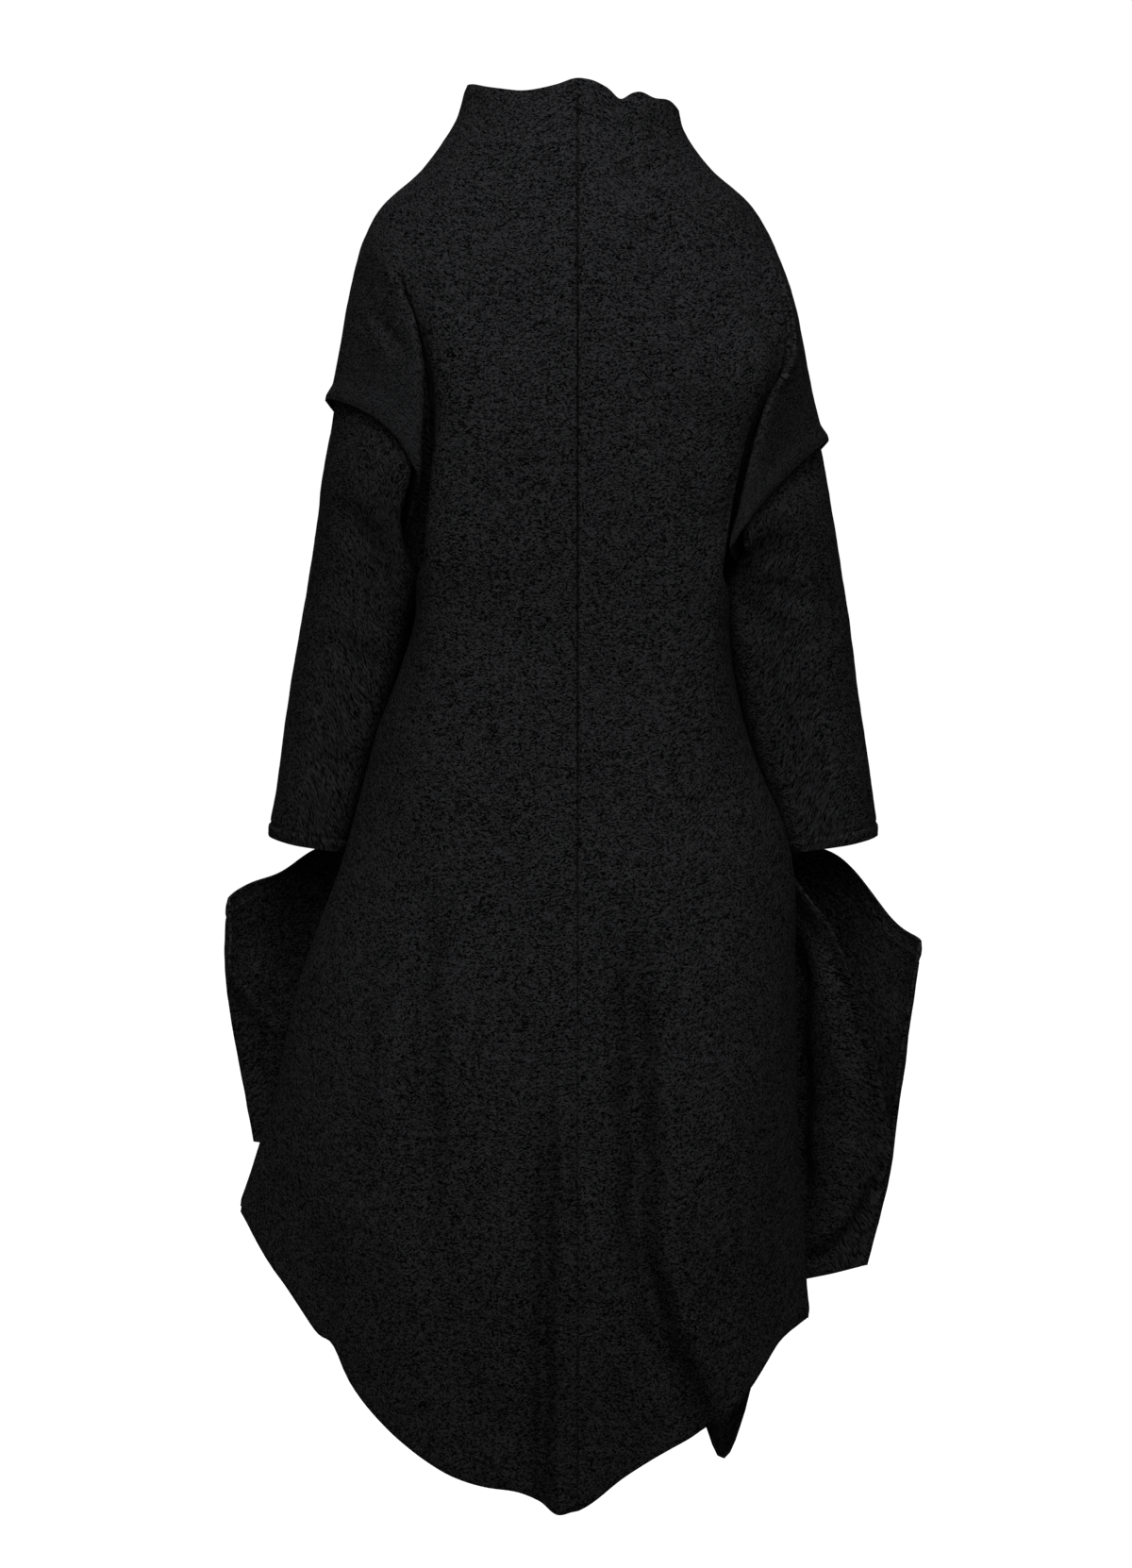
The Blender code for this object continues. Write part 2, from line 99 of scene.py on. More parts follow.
def along_keys(keys, places):
    """Points on a smooth curve through the keys; the first and the last key only lead it."""
    keys = np.array(keys, dtype=float)
    chords = np.linalg.norm(np.diff(keys, axis=0), axis=1)[:, None]
    slopes = np.diff(keys, axis=0) / chords
    leads = (slopes[1:] * chords[:-1] + slopes[:-1] * chords[1:]) / (chords[1:] + chords[:-1])
    low = np.clip(places.astype(int), 0, len(keys) - 4)
    share = (places - low)[:, None]
    chord = chords[low + 1]
    return hermite(keys[low + 1], leads[low] * chord, keys[low + 2], leads[low + 1] * chord, share)


def unit(vectors):
    return vectors / np.linalg.norm(vectors, axis=-1, keepdims=True)


def path_length(line):
    """Length along a line of points, up to each of them."""
    return np.append(0, np.cumsum(np.linalg.norm(np.diff(line, axis=0), axis=1)))


# %% Sizes and sections of the coat
WALL = 0.0025  # thickness of the boiled wool
UNDERARM_GAP = 0.008  # width of the fold's floor between body and arm
# Key points of a section with no arm, in degrees
PLAIN_ANGLES = {"left": (0, 34, 54, 58, 74, 90), "right": (0, 36, 70, 74, 82, 90)}

# Places along a section count its key points from the centre line, sections count from the neck down
SIDE, OVERARM = 2, 5
UNDERARM, WAIST, THIGH, HEM = 7, 8, 11, 13

SIGN = {"left": -1, "right": 1}
FACING = {"back": -1, "front": 1}
OTHER_SIDE = {"left": "right", "right": "left"}
OTHER_FACE = {"back": "front", "front": "back"}

# The arm's crest, as a share of the way from the fold to the overarm: across, then up
ARM_CREST = {
    "left": {"back": (0.015, 0.52), "front": (0.55, 0.66)},
    "right": {"back": (0.02, 0.10), "front": (0.55, 0.60)},
}

CAP_BOW = {"left": 0.011, "right": 0.012}  # rise of the cap's back hem between crest and overarm
BOW_SCALE = 27 / 4  # brings the top of the bow's curve to 1

FOLD_DIVE = {"left": 1.0, "right": 2.5}  # how late the fold's floor drops away to the underarm

# The blade is the key point where the back turns to the side, as a share of the section's half width
FRONT_BLADE = 0.70  # the same for the front
FULLNESS = {"back": 0.82, "front": 0.70}  # depth at the blade, as a share of the centre's
CENTRE = table(
    "section blade back_z back_y front_z front_y",
    ("neck edge", 0.70, 0.089, -0.062, 0.076, 0.078),
    ("neck base", 0.70, 0.057, -0.068, 0.046, 0.084),
    ("shoulder slope", 0.70, 0.012, -0.084, 0.006, 0.094),
    ("shoulder", 0.72, -0.033, -0.100, -0.037, 0.104),
    ("blade", 0.76, -0.078, -0.111, -0.080, 0.114),
    ("chest", 0.92, -0.144, -0.119, -0.145, 0.125),
    ("arm", 0.955, -0.217, -0.121, -0.217, 0.129),
    ("underarm", 0.96, -0.303, -0.118, -0.303, 0.125),
    ("waist", 0.87, -0.390, -0.109, -0.390, 0.117),
    ("high hip", 0.77, -0.510, -0.117, -0.503, 0.121),
    ("hip", 0.70, -0.648, -0.139, -0.634, 0.133),
    ("thigh", 0.70, -0.793, -0.162, -0.764, 0.145),
    ("skirt", 0.70, -0.953, -0.174, -0.902, 0.151),
    ("hem", 0.70, -1.130, -0.150, -1.036, 0.140),
)

# Fold between body and arm, which runs on as the side seam: a row per section
SIDE_LINE = {
    "left": table(
        "x z y depth",
        (0.077, 0.093, 0.010, 0.00),
        (0.087, 0.058, 0.008, 0.00),
        (0.110, 0.016, 0.004, 0.00),
        (0.138, -0.024, 0.000, 0.00),
        (0.147, -0.068, -0.004, 0.03),
        (0.132, -0.127, -0.008, 0.10),
        (0.1245, -0.201, -0.010, 0.30),
        (0.131, -0.312, -0.010, 1.00),
        (0.140, -0.380, -0.006, 1.00),
        (0.172, -0.472, -0.004, 1.00),
        (0.200, -0.574, -0.010, 1.00),
        (0.236, -0.677, -0.020, 1.00),
        (0.263, -0.791, -0.026, 1.00),
        (0.291, -0.879, -0.024, 1.00),
    ),
    "right": table(
        "x z y depth",
        (0.071, 0.080, 0.010, 0.00),
        (0.075, 0.054, 0.008, 0.00),
        (0.095, 0.016, 0.006, 0.00),
        (0.124, -0.024, 0.004, 0.00),
        (0.166, -0.078, 0.002, 0.20),
        (0.177, -0.144, 0.002, 0.40),
        (0.148, -0.217, 0.004, 0.48),
        (0.1255, -0.322, 0.006, 1.00),
        (0.129, -0.398, 0.004, 1.00),
        (0.148, -0.480, 0.000, 1.00),
        (0.182, -0.570, -0.008, 1.00),
        (0.187, -0.685, -0.016, 1.00),
        (0.189, -0.824, -0.022, 1.00),
        (0.199, -0.976, -0.020, 1.00),
    ),
}

# Overarm seam and the arm's crests, down to the cap's hem. The weight says how far a section has
# turned from one plain curve into a body with an arm beside it.
ARM_LINE = {
    "left": table(
        "weight x z y back_y front_y",
        (0.00, 0.095, 0.090, 0.010, -0.030, 0.045),
        (0.00, 0.105, 0.060, 0.008, -0.035, 0.050),
        (0.00, 0.132, 0.021, 0.004, -0.050, 0.060),
        (0.05, 0.167, -0.012, 0.000, -0.070, 0.072),
        (0.40, 0.185, -0.045, -0.004, -0.086, 0.080),
        (0.85, 0.196, -0.094, -0.008, -0.095, 0.084),
        (1.00, 0.205, -0.144, -0.010, -0.099, 0.084),
        (1.00, 0.213, -0.181, -0.010, -0.098, 0.080),
    ),
    "right": table(
        "weight x z y back_y front_y",
        (0.00, 0.088, 0.066, 0.010, -0.030, 0.045),
        (0.00, 0.091, 0.052, 0.008, -0.032, 0.050),
        (0.00, 0.113, 0.021, 0.006, -0.040, 0.060),
        (0.00, 0.149, -0.012, 0.004, -0.052, 0.072),
        (0.30, 0.172, -0.053, 0.002, -0.064, 0.084),
        (0.80, 0.189, -0.103, 0.002, -0.074, 0.090),
        (1.00, 0.201, -0.166, 0.004, -0.084, 0.093),
        (1.00, 0.213, -0.216, 0.006, -0.087, 0.092),
    ),
}

# Rise of the hem from the centre to the side seam, at even steps across the half width
HEM_RISE = table(
    "left right",
    (0.000, 0.000),
    (0.055, 0.165),
    (0.130, 0.330),
    (0.330, 0.490),
    (0.655, 0.720),
    (1.000, 1.000),
)

# Point of the front hem: its place across the half width and its drop, then its spread
HEM_TIP = {"left": (0.52, 0.090), "right": (0.65, 0.106)}
TIP_SPREAD = 0.22
print("sections from neck to hem:", len(CENTRE))


# %% Curves of a section
def blade_share(face, section):
    return size_at(CENTRE, "blade", section) if face == "back" else FRONT_BLADE


def upper_keys(side, face, section):
    """Key points above the underarm: centre, blade, fold, arm, crest and overarm."""
    centre_z = size_at(CENTRE, face + "_z", section)
    centre_y = size_at(CENTRE, face + "_y", section)
    fold = {name: size_at(SIDE_LINE[side], name, section) for name in ("x", "z", "depth")}
    arm = {name: size_at(ARM_LINE[side], name, section) for name in ("weight", "x", "z", "y")}
    crest_y = size_at(ARM_LINE[side], face + "_y", section)
    blade = blade_share(face, section)
    blade_y = mix(arm["y"], centre_y, FULLNESS[face])
    fold_y = mix((blade_y + crest_y) / 2, arm["y"], np.clip(fold["depth"], 0, 1) ** FOLD_DIVE[side])
    inner_x = fold["x"] + UNDERARM_GAP
    crest_across, crest_up = ARM_CREST[side][face]
    crest_x = mix(inner_x, arm["x"], crest_across)
    crest_z = mix(fold["z"], arm["z"], crest_up)
    shaped = np.array(
        [
            (0, centre_y, centre_z),
            (blade * fold["x"], blade_y, mix(centre_z, fold["z"], blade**2)),
            (fold["x"], fold_y, fold["z"]),
            (inner_x, fold_y, fold["z"]),
            (crest_x, crest_y, crest_z),
            (arm["x"], arm["y"], arm["z"]),
        ]
    )
    across = np.sin(np.radians(PLAIN_ANGLES[side]))
    deep = np.cos(np.radians(PLAIN_ANGLES[side]))
    plain = [arm["x"] * across, mix(arm["y"], centre_y, deep), mix(centre_z, arm["z"], across**2)]
    return mix(np.stack(plain, axis=1), shaped, smooth_step(arm["weight"]))


def lower_keys(side, face, section):
    """Key points below the underarm: centre, side of the back or front, side seam."""
    centre_y = size_at(CENTRE, face + "_y", section)
    seam_x = size_at(SIDE_LINE[side], "x", section)
    seam_y = size_at(SIDE_LINE[side], "y", section)
    blade_x = blade_share(face, section) * seam_x
    blade_y = mix(seam_y, centre_y, FULLNESS[face])
    return np.array([(0, centre_y, 0), (blade_x, blade_y, 0), (seam_x, seam_y, 0)])


def lower_height(side, face, section, across):
    """Height of a section that swings from level at the underarm to the hem's own line."""
    centre_z = size_at(CENTRE, face + "_z", section)
    seam_z = size_at(SIDE_LINE[side], "z", section)
    way_down = (section - UNDERARM) / (HEM - UNDERARM)
    hem_share = size_at(HEM_RISE, side, across * (len(HEM_RISE) - 1))
    height = mix(centre_z, seam_z, mix(across**2, hem_share, way_down))
    if face == "front":
        place, drop = HEM_TIP[side]
        point = smooth_step(1 - np.abs(across - place) / TIP_SPREAD)
        height = height - drop * point * smooth_step(way_down * 2 - 1)
    return height


def half_row(side, face, section, places):
    """Inside of the cloth along one section, from the centre line to the given places."""
    if section <= UNDERARM:
        keys = upper_keys(side, face, section)
        beyond = upper_keys(side, OTHER_FACE[face], section)[OVERARM - 1]
    else:
        keys = lower_keys(side, face, section)
        around = lower_keys(side, OTHER_FACE[face], section)[1]
        beyond = mix(keys[SIDE] + (UNDERARM_GAP, 0, 0), around, smooth_step(section - UNDERARM))
    points = along_keys([keys[1] * (-1, 1, 1), *keys, beyond], places)
    if section > UNDERARM:
        across = np.minimum(points[:, 0] / keys[SIDE][0], 1.0)
        points[:, 2] = lower_height(side, face, section, across)
    elif face == "back":
        outer = np.clip(places - OVERARM + 1, 0.0, 1.0)
        bow = CAP_BOW[side] * smooth_step((section - UNDERARM) / 2 + 1)
        points[:, 2] += bow * BOW_SCALE * outer * (1 - outer) ** 2
    return points * (SIGN[side], 1, 1)


def panel_row(side, face, section, places):
    """The same across the centre line: places below zero lie on the other side of it."""
    other = half_row(OTHER_SIDE[side], face, section, -places[places < 0])
    return np.concatenate([other, half_row(side, face, section, places[places >= 0])])


waist = half_row("left", "back", WAIST, np.array([SIDE]))[0]
print("left side seam at the waist, in metres:", np.round(waist, 3))

# %% [markdown]
# ## Creases
# Boiled wool is thick and springy, so it makes few folds, and soft ones: deep where the arm meets the
# body, long and hanging in the skirt, small and crossways at the neck and the elbow. A cloth simulation
# would invent its own. Here each crease is a row of a table: its two ends as seen from behind, how far
# it bows, its width and depth, and the lip of cloth that it pushes up on one side.

# %% Troughs and ridges as a height over the cloth
LIP_REACH = 1.7  # from the crease's middle to the top of its lip, in widths
LIP_WIDTH = 1.1  # width of the lip, in widths of the crease
WOBBLE = 0.12  # how far a crease wanders from its line, in widths
WOBBLE_TURN = 70  # how fast it does, in radians for a metre
WOBBLE_START = 400  # where it starts to, in radians for a metre across, so that no two creases match
CREASE_COLUMNS = "from_x from_z to_x to_z bow width depth lip fade_in fade_out"


def crease_height(creases, points):
    """Height of all creases at each point. A crease that runs down has its far side towards +X."""
    height = np.zeros(points.shape[:2])
    for crease in creases:
        start = np.array((crease["from_x"], crease["from_z"]))
        chord = np.array((crease["to_x"], crease["to_z"])) - start
        length = np.linalg.norm(chord)
        along = chord / length
        apart = points[:, :, (0, 2)] - start
        share = apart @ along / length
        off = apart @ np.array((-along[1], along[0])) - crease["bow"] * 4 * share * (1 - share)
        waves = np.sin(length * share * WOBBLE_TURN + start[0] * WOBBLE_START)
        off = off + WOBBLE * crease["width"] * waves
        off = off / crease["width"]
        lip_place = math.copysign(LIP_REACH, crease["lip"])
        lip = abs(crease["lip"]) * np.exp(-(((off - lip_place) / LIP_WIDTH) ** 2))
        shown = smooth_step(share / crease["fade_in"]) * smooth_step((1 - share) / crease["fade_out"])
        height += shown * (crease["depth"] * np.exp(-(off**2)) + lip)
    return height


RUMPLES = table("size height", (0.055, 0.0011), (0.018, 0.0004), (0.008, 0.00018))


def rumple_height(points):
    """Slight unevenness of thick wool, from broad waves down to small lumps."""
    height = np.zeros(points.shape[:2])
    for rumple in RUMPLES:
        for row, column in np.ndindex(height.shape):
            spot = Vector(points[row, column]) / rumple["size"]
            height[row, column] += rumple["height"] * noise.noise(spot)
    return height


# %% [markdown]
# ## The felted wool
# Boiled wool is knitted, then shrunk until its loops close up into a felt. Close to, it is a mass of
# dark fibres with lighter flecks, a little longer across than down, and a short nap that catches light
# at the edges. An even black would look like plastic. One node group makes the flecks, the mottling and
# the height of the nap, from the cloth's own map in metres, so the grain keeps its scale on every piece.

# %% A node group for the grain
def new_node(tree, kind, place, **settings):
    node = tree.nodes.new(kind)
    node.location = place
    for name, value in settings.items():
        setattr(node, name, value)
    return node


def set_inputs(node, values):
    for name, value in values.items():
        node.inputs[name].default_value = value


def stretched(tree, source, place, scale):
    """The cloth's own coordinates, multiplied across and down."""
    mapping = new_node(tree, "ShaderNodeMapping", place)
    mapping.inputs["Scale"].default_value = (*scale, 1.0)
    tree.links.new(source, mapping.inputs["Vector"])
    return mapping.outputs["Vector"]


def grain_noise(tree, source, place, scale, detail, roughness, distortion):
    """Noise over the cloth, with as many waves per metre across and down as the scale."""
    pattern = new_node(tree, "ShaderNodeTexNoise", (place[0] + 200, place[1]))
    values = {"Scale": 1.0, "Detail": detail, "Roughness": roughness, "Distortion": distortion}
    set_inputs(pattern, values)
    tree.links.new(stretched(tree, source, place, scale), pattern.inputs["Vector"])
    return pattern


def grain_cells(tree, source, place, scale):
    """A random value for each small cell of the cloth, with as many cells per metre as the scale."""
    cells = new_node(tree, "ShaderNodeTexVoronoi", (place[0] + 200, place[1]))
    cells.inputs["Scale"].default_value = 1.0
    split = new_node(tree, "ShaderNodeSeparateColor", (place[0] + 400, place[1]))
    tree.links.new(stretched(tree, source, place, scale), cells.inputs["Vector"])
    tree.links.new(cells.outputs["Color"], split.inputs["Color"])
    return split.outputs["Red"]


def weighted_sum(tree, terms, place):
    """Sum of sockets, each times its weight."""
    total = None
    for number, (socket, weight) in enumerate(terms):
        spot = (place[0] + 180 * number, place[1])
        step = new_node(tree, "ShaderNodeMath", spot, operation="MULTIPLY_ADD")
        set_inputs(step, {1: weight, 2: 0.0})
        tree.links.new(socket, step.inputs[0])
        if total is not None:
            tree.links.new(total, step.inputs[2])
        total = step.outputs[0]
    return total


def map_range(tree, value, place, low, high, to_low=0.0, to_high=1.0):
    node = new_node(tree, "ShaderNodeMapRange", place)
    set_inputs(node, {"From Min": low, "From Max": high, "To Min": to_low, "To Max": to_high})
    tree.links.new(value, node.inputs["Value"])
    return node.outputs["Result"]


def mix_colors(tree, share, first, second, place):
    node = new_node(tree, "ShaderNodeMix", place, data_type="RGBA")
    colors = [socket for socket in node.inputs if socket.type == "RGBA"]
    tree.links.new(share, node.inputs["Factor"])
    for socket, source in zip(colors, (first, second)):
        if isinstance(source, tuple):
            socket.default_value = source
        else:
            tree.links.new(source, socket)
    return next(socket for socket in node.outputs if socket.type == "RGBA")


GRAIN_SOCKETS = (
    ("Cloth", "INPUT", "Vector"),
    ("Dark", "INPUT", "Color"),
    ("Fleck", "INPUT", "Color"),
    ("Color", "OUTPUT", "Color"),
    ("Roughness", "OUTPUT", "Float"),
    ("Nap", "OUTPUT", "Float"),
)


def make_grain_group():
    group = bpy.data.node_groups.new("boiled wool grain", "ShaderNodeTree")
    for name, in_out, kind in GRAIN_SOCKETS:
        group.interface.new_socket(name, in_out=in_out, socket_type="NodeSocket" + kind)
    start = new_node(group, "NodeGroupInput", (-1200, 0))
    end = new_node(group, "NodeGroupOutput", (1200, 0))
    cloth = start.outputs["Cloth"]
    flecks = grain_noise(group, cloth, (-900, 400), (560, 860), 3, 0.65, 0.6)
    tufts = grain_cells(group, cloth, (-900, 150), (640, 920))
    mottle = grain_noise(group, cloth, (-900, -100), (120, 260), 3, 0.6, 0.6)
    clouds = grain_noise(group, cloth, (-900, -350), (13, 15), 2, 0.5, 0.0)
    tints = grain_noise(group, cloth, (-900, -600), (560, 640), 1, 0.5, 0.0)
    terms = [(flecks.outputs["Fac"], 0.38), (tufts, 0.30)]
    terms += [(mottle.outputs["Fac"], 0.26), (clouds.outputs["Fac"], 0.06)]
    grain = weighted_sum(group, terms, (-400, 200))
    fleck_share = map_range(group, grain, (350, 300), 0.38, 0.64)
    plain = mix_colors(group, fleck_share, start.outputs["Dark"], start.outputs["Fleck"], (600, 300))
    tint = new_node(group, "ShaderNodeHueSaturation", (800, 300))
    hue = map_range(group, tints.outputs["Fac"], (350, -400), 0.3, 0.7, 0.38, 0.62)
    group.links.new(hue, tint.inputs["Hue"])
    group.links.new(plain, tint.inputs["Color"])
    rough = map_range(group, grain, (350, 0), 0.30, 0.70, 0.98, 0.82)
    group.links.new(tint.outputs["Color"], end.inputs["Color"])
    group.links.new(rough, end.inputs["Roughness"])
    group.links.new(grain, end.inputs["Nap"])
    return group


grain_group = make_grain_group()
print("grain group sockets:", [item.name for item in grain_group.interface.items_tree])

# %% The wool and the thread
NAP_DEPTH = 0.0011  # height of the nap that the bump shows
WOOL_LOOKS = {
    "Specular IOR Level": 0.0,
    "Sheen Weight": 0.04,
    "Sheen Roughness": 0.5,
    "Sheen Tint": (0.05, 0.05, 0.055, 1.0),
}


def new_material(name, looks):
    """A material with the given looks, its node tree and its shader."""
    material = bpy.data.materials.new(name)
    material.use_nodes = True
    tree = material.node_tree
    shader = tree.nodes["Principled BSDF"]
    set_inputs(shader, looks)
    return material, tree, shader


def make_wool(name, dark, fleck):
    material, tree, shader = new_material(name, WOOL_LOOKS)
    cloth = new_node(tree, "ShaderNodeUVMap", (-900, 0), uv_map="cut")
    grain = new_node(tree, "ShaderNodeGroup", (-600, 0), node_tree=grain_group)
    set_inputs(grain, {"Dark": dark, "Fleck": fleck})
    bump = new_node(tree, "ShaderNodeBump", (-250, -250))
    set_inputs(bump, {"Distance": NAP_DEPTH, "Strength": 0.7})
    tree.links.new(cloth.outputs["UV"], grain.inputs["Cloth"])
    tree.links.new(grain.outputs["Color"], shader.inputs["Base Color"])
    tree.links.new(grain.outputs["Roughness"], shader.inputs["Roughness"])
    tree.links.new(grain.outputs["Nap"], bump.inputs["Height"])
    tree.links.new(bump.outputs["Normal"], shader.inputs["Normal"])
    return material


wool = make_wool("boiled_wool", (0.0006, 0.0006, 0.0008, 1.0), (0.0205, 0.0207, 0.0220, 1.0))
thread = make_wool("thread", (0.0040, 0.0040, 0.0045, 1.0), (0.0160, 0.0160, 0.0170, 1.0))
print("materials:", wool.name, thread.name)

# %% [markdown]
# ## From a grid to cloth
# A piece of cloth is a grid of faces bent to the points of its outer side, then given its thickness
# inwards by a Solidify modifier. Bending a grid keeps the rows along the sections, so the map of the
# grain can be measured in metres along the cloth itself.

# %% Helpers for grids of points
def pinched(count, pinch):
    """Even steps from 0 to 1, drawn closer together towards both ends."""
    even = np.linspace(0, 1, count + 1)
    return even - pinch * np.sin(2 * np.pi * even) / (2 * np.pi)


def measured(points, axis):
    """Length along the columns (axis 0) or the rows (axis 1) of a grid of points."""
    steps = np.linalg.norm(np.diff(points, axis=axis), axis=2)
    start = np.zeros_like(np.take(steps, [0], axis=axis))
    return np.concatenate([start, np.cumsum(steps, axis=axis)], axis=axis)


def outward_normals(points, outward):
    """Unit normals of the grid, on the side that the outward vectors lie on."""
    normals = unit(np.cross(np.gradient(points, axis=1), np.gradient(points, axis=0)))
    return normals * np.sign(np.sum(normals * outward))


FACING_FULL = 0.5  # how much of a normal points back or front where a crease has its full depth


def facing_share(normals, face):
    """1 where the cloth faces back or front, 0 where it turns away."""
    return smooth_step(FACING[face] * normals[:, :, 1] / FACING_FULL)


def new_object(name, data):
    added = bpy.data.objects.new(name, data)
    bpy.context.scene.collection.objects.link(added)
    return added


def raised(points, normals, height):
    """Outside of the cloth: its inside, moved out by the wall and the height."""
    return points + normals * (WALL + height)[:, :, None]


def draped_height(points, normals, creases):
    """Rumples and creases of a piece that turns from the back to the front."""
    height = rumple_height(points)
    for face in FACING:
        height += crease_height(creases[face], points) * facing_share(normals, face)
    return height


def add_object(name, mesh, material):
    """An object at the origin from a finished bmesh."""
    data = bpy.data.meshes.new(name)
    mesh.to_mesh(data)
    mesh.free()
    data.shade_smooth()
    data.materials.append(material)
    print(f"{name}: {len(data.polygons)} faces")
    return new_object(name, data)


CUT_SHIFT = 2.3  # keeps the grain of one piece from repeating on the next
MERGE_DISTANCE = 0.00005  # points this close become one
cloths = []


def make_cloth(name, outside, normals, cut_map, keep=None):
    """Bends a grid to the outside points, drops what isn't kept and gives it its thickness."""
    rows, columns = outside.shape[:2]
    mesh = bmesh.new()
    bmesh.ops.create_grid(mesh, x_segments=columns - 1, y_segments=rows - 1, size=0.5)
    spots = []
    for vertex in mesh.verts:
        row = round((vertex.co.y + 0.5) * (rows - 1))
        column = round((vertex.co.x + 0.5) * (columns - 1))
        spots.append((row, column))
        vertex.co = outside[row, column]
    mesh.verts.index_update()
    layer = mesh.loops.layers.uv.new("cut")
    lean = 0.0
    for face in mesh.faces:
        face.normal_update()
        lean += face.normal.dot(Vector(normals[spots[face.verts[0].index]]))
        for loop in face.loops:
            loop[layer].uv = cut_map[spots[loop.vert.index]] + CUT_SHIFT * len(cloths)
    if lean < 0:
        bmesh.ops.reverse_faces(mesh, faces=mesh.faces)
    if keep is not None:
        dropped = [vertex for vertex in mesh.verts if not keep[spots[vertex.index]]]
        bmesh.ops.delete(mesh, geom=dropped, context="VERTS")
    bmesh.ops.remove_doubles(mesh, verts=mesh.verts, dist=MERGE_DISTANCE)
    cloth = add_object(name, mesh, wool)
    wall = cloth.modifiers.new("wall", "SOLIDIFY")
    wall.thickness = WALL
    wall.offset = -1.0
    cloths.append(cloth)
    return cloth


# %% [markdown]
# ## Backs and fronts
# Each back or front is one piece of cloth from the funnel neck to the hem, with the capped shoulder cut
# on. Its body columns run down to the hem. Its cap columns end at the elbow, where the cap's own hem
# stands over the sleeve. The seams are rolled edges: the cloth turns in where two pieces meet, which
# draws the fine dark line down the centre back.

# %% Creases of the backs
BACK_CREASES = table(
    CREASE_COLUMNS,
    # left side
    # wrinkles of the cap beside the arm's fold
    (-0.181, -0.102, -0.138, -0.154, 0.000, 0.0065, -0.0055, -0.0012, 0.30, 0.30),
    (-0.187, -0.132, -0.174, -0.168, 0.000, 0.0100, -0.0025, 0.0000, 0.40, 0.40),
    # hollows over the shoulder blade
    (-0.138, -0.024, -0.080, -0.032, 0.004, 0.0150, -0.0022, 0.0010, 0.40, 0.40),
    (-0.112, -0.130, -0.070, -0.098, 0.004, 0.0170, -0.0018, 0.0000, 0.40, 0.40),
    # dent of the neck
    (-0.070, 0.075, -0.078, 0.010, 0.002, 0.0120, -0.0015, 0.0010, 0.40, 0.40),
    # hanging folds of the skirt
    (-0.128, -0.560, -0.127, -0.950, 0.000, 0.0130, -0.0140, 0.0035, 0.35, 0.30),
    (-0.094, -0.600, -0.092, -0.880, 0.000, 0.0220, 0.0040, 0.0000, 0.40, 0.40),
    (-0.053, -0.690, -0.028, -0.790, 0.000, 0.0110, -0.0035, 0.0015, 0.40, 0.40),
    (-0.078, -0.700, -0.066, -0.870, 0.000, 0.0100, -0.0035, 0.0010, 0.40, 0.40),
    (-0.025, -0.720, -0.030, -1.140, 0.000, 0.0080, -0.0130, 0.0075, 0.35, 0.02),
    (-0.180, -0.640, -0.200, -0.860, 0.006, 0.0150, -0.0035, 0.0020, 0.40, 0.40),
    # short drags above the hem
    (-0.152, -0.870, -0.118, -0.965, 0.003, 0.0085, -0.0040, -0.0020, 0.35, 0.35),
    (-0.110, -0.990, -0.055, -1.090, 0.004, 0.0140, -0.0035, 0.0015, 0.40, 0.30),
    (-0.172, -1.052, -0.106, -1.046, 0.000, 0.0060, -0.0020, 0.0010, 0.40, 0.40),
    (-0.240, -0.840, -0.222, -0.950, 0.004, 0.0120, -0.0035, 0.0015, 0.40, 0.20),
    # right side
    # broad hollow of the back beside the arm
    (0.090, -0.125, 0.112, -0.350, 0.000, 0.0290, -0.0110, 0.0000, 0.35, 0.30),
    # gathers of the neck
    (0.036, 0.072, 0.090, 0.046, 0.003, 0.0085, 0.0042, 0.0000, 0.35, 0.25),
    (0.028, 0.003, 0.080, 0.024, -0.003, 0.0100, -0.0045, 0.0010, 0.35, 0.35),
    (0.038, 0.092, 0.042, 0.050, 0.000, 0.0055, -0.0035, 0.0015, 0.02, 0.60),
    (0.061, 0.090, 0.057, 0.056, 0.000, 0.0050, -0.0025, 0.0010, 0.02, 0.60),
    (0.082, 0.080, 0.074, 0.052, 0.000, 0.0050, -0.0025, 0.0000, 0.02, 0.60),
    # dents below the shoulder
    (0.042, -0.038, 0.098, -0.047, 0.002, 0.0110, -0.0035, 0.0010, 0.40, 0.40),
    (0.098, -0.014, 0.142, -0.034, 0.000, 0.0120, -0.0025, 0.0000, 0.40, 0.40),
    # hanging folds of the skirt
    (0.047, -0.580, 0.053, -0.960, 0.000, 0.0150, -0.0250, 0.0060, 0.45, 0.25),
    (0.048, -0.880, 0.118, -1.075, -0.011, 0.0130, -0.0210, 0.0080, 0.30, 0.02),
    (0.100, -0.700, 0.122, -0.960, 0.000, 0.0300, 0.0060, 0.0000, 0.40, 0.30),
    (0.104, -0.760, 0.112, -0.840, 0.000, 0.0080, -0.0030, 0.0010, 0.40, 0.40),
    (0.008, -0.780, 0.010, -1.140, 0.002, 0.0130, 0.0050, 0.0000, 0.40, 0.05),
    (0.014, -0.550, 0.010, -0.760, 0.000, 0.0120, 0.0022, 0.0000, 0.40, 0.40),
    (0.086, -0.966, 0.124, -0.992, 0.000, 0.0060, 0.0040, 0.0000, 0.40, 0.40),
    (0.160, -0.720, 0.170, -0.960, 0.004, 0.0140, -0.0050, 0.0020, 0.40, 0.30),
)
print("creases on the backs:", len(BACK_CREASES))

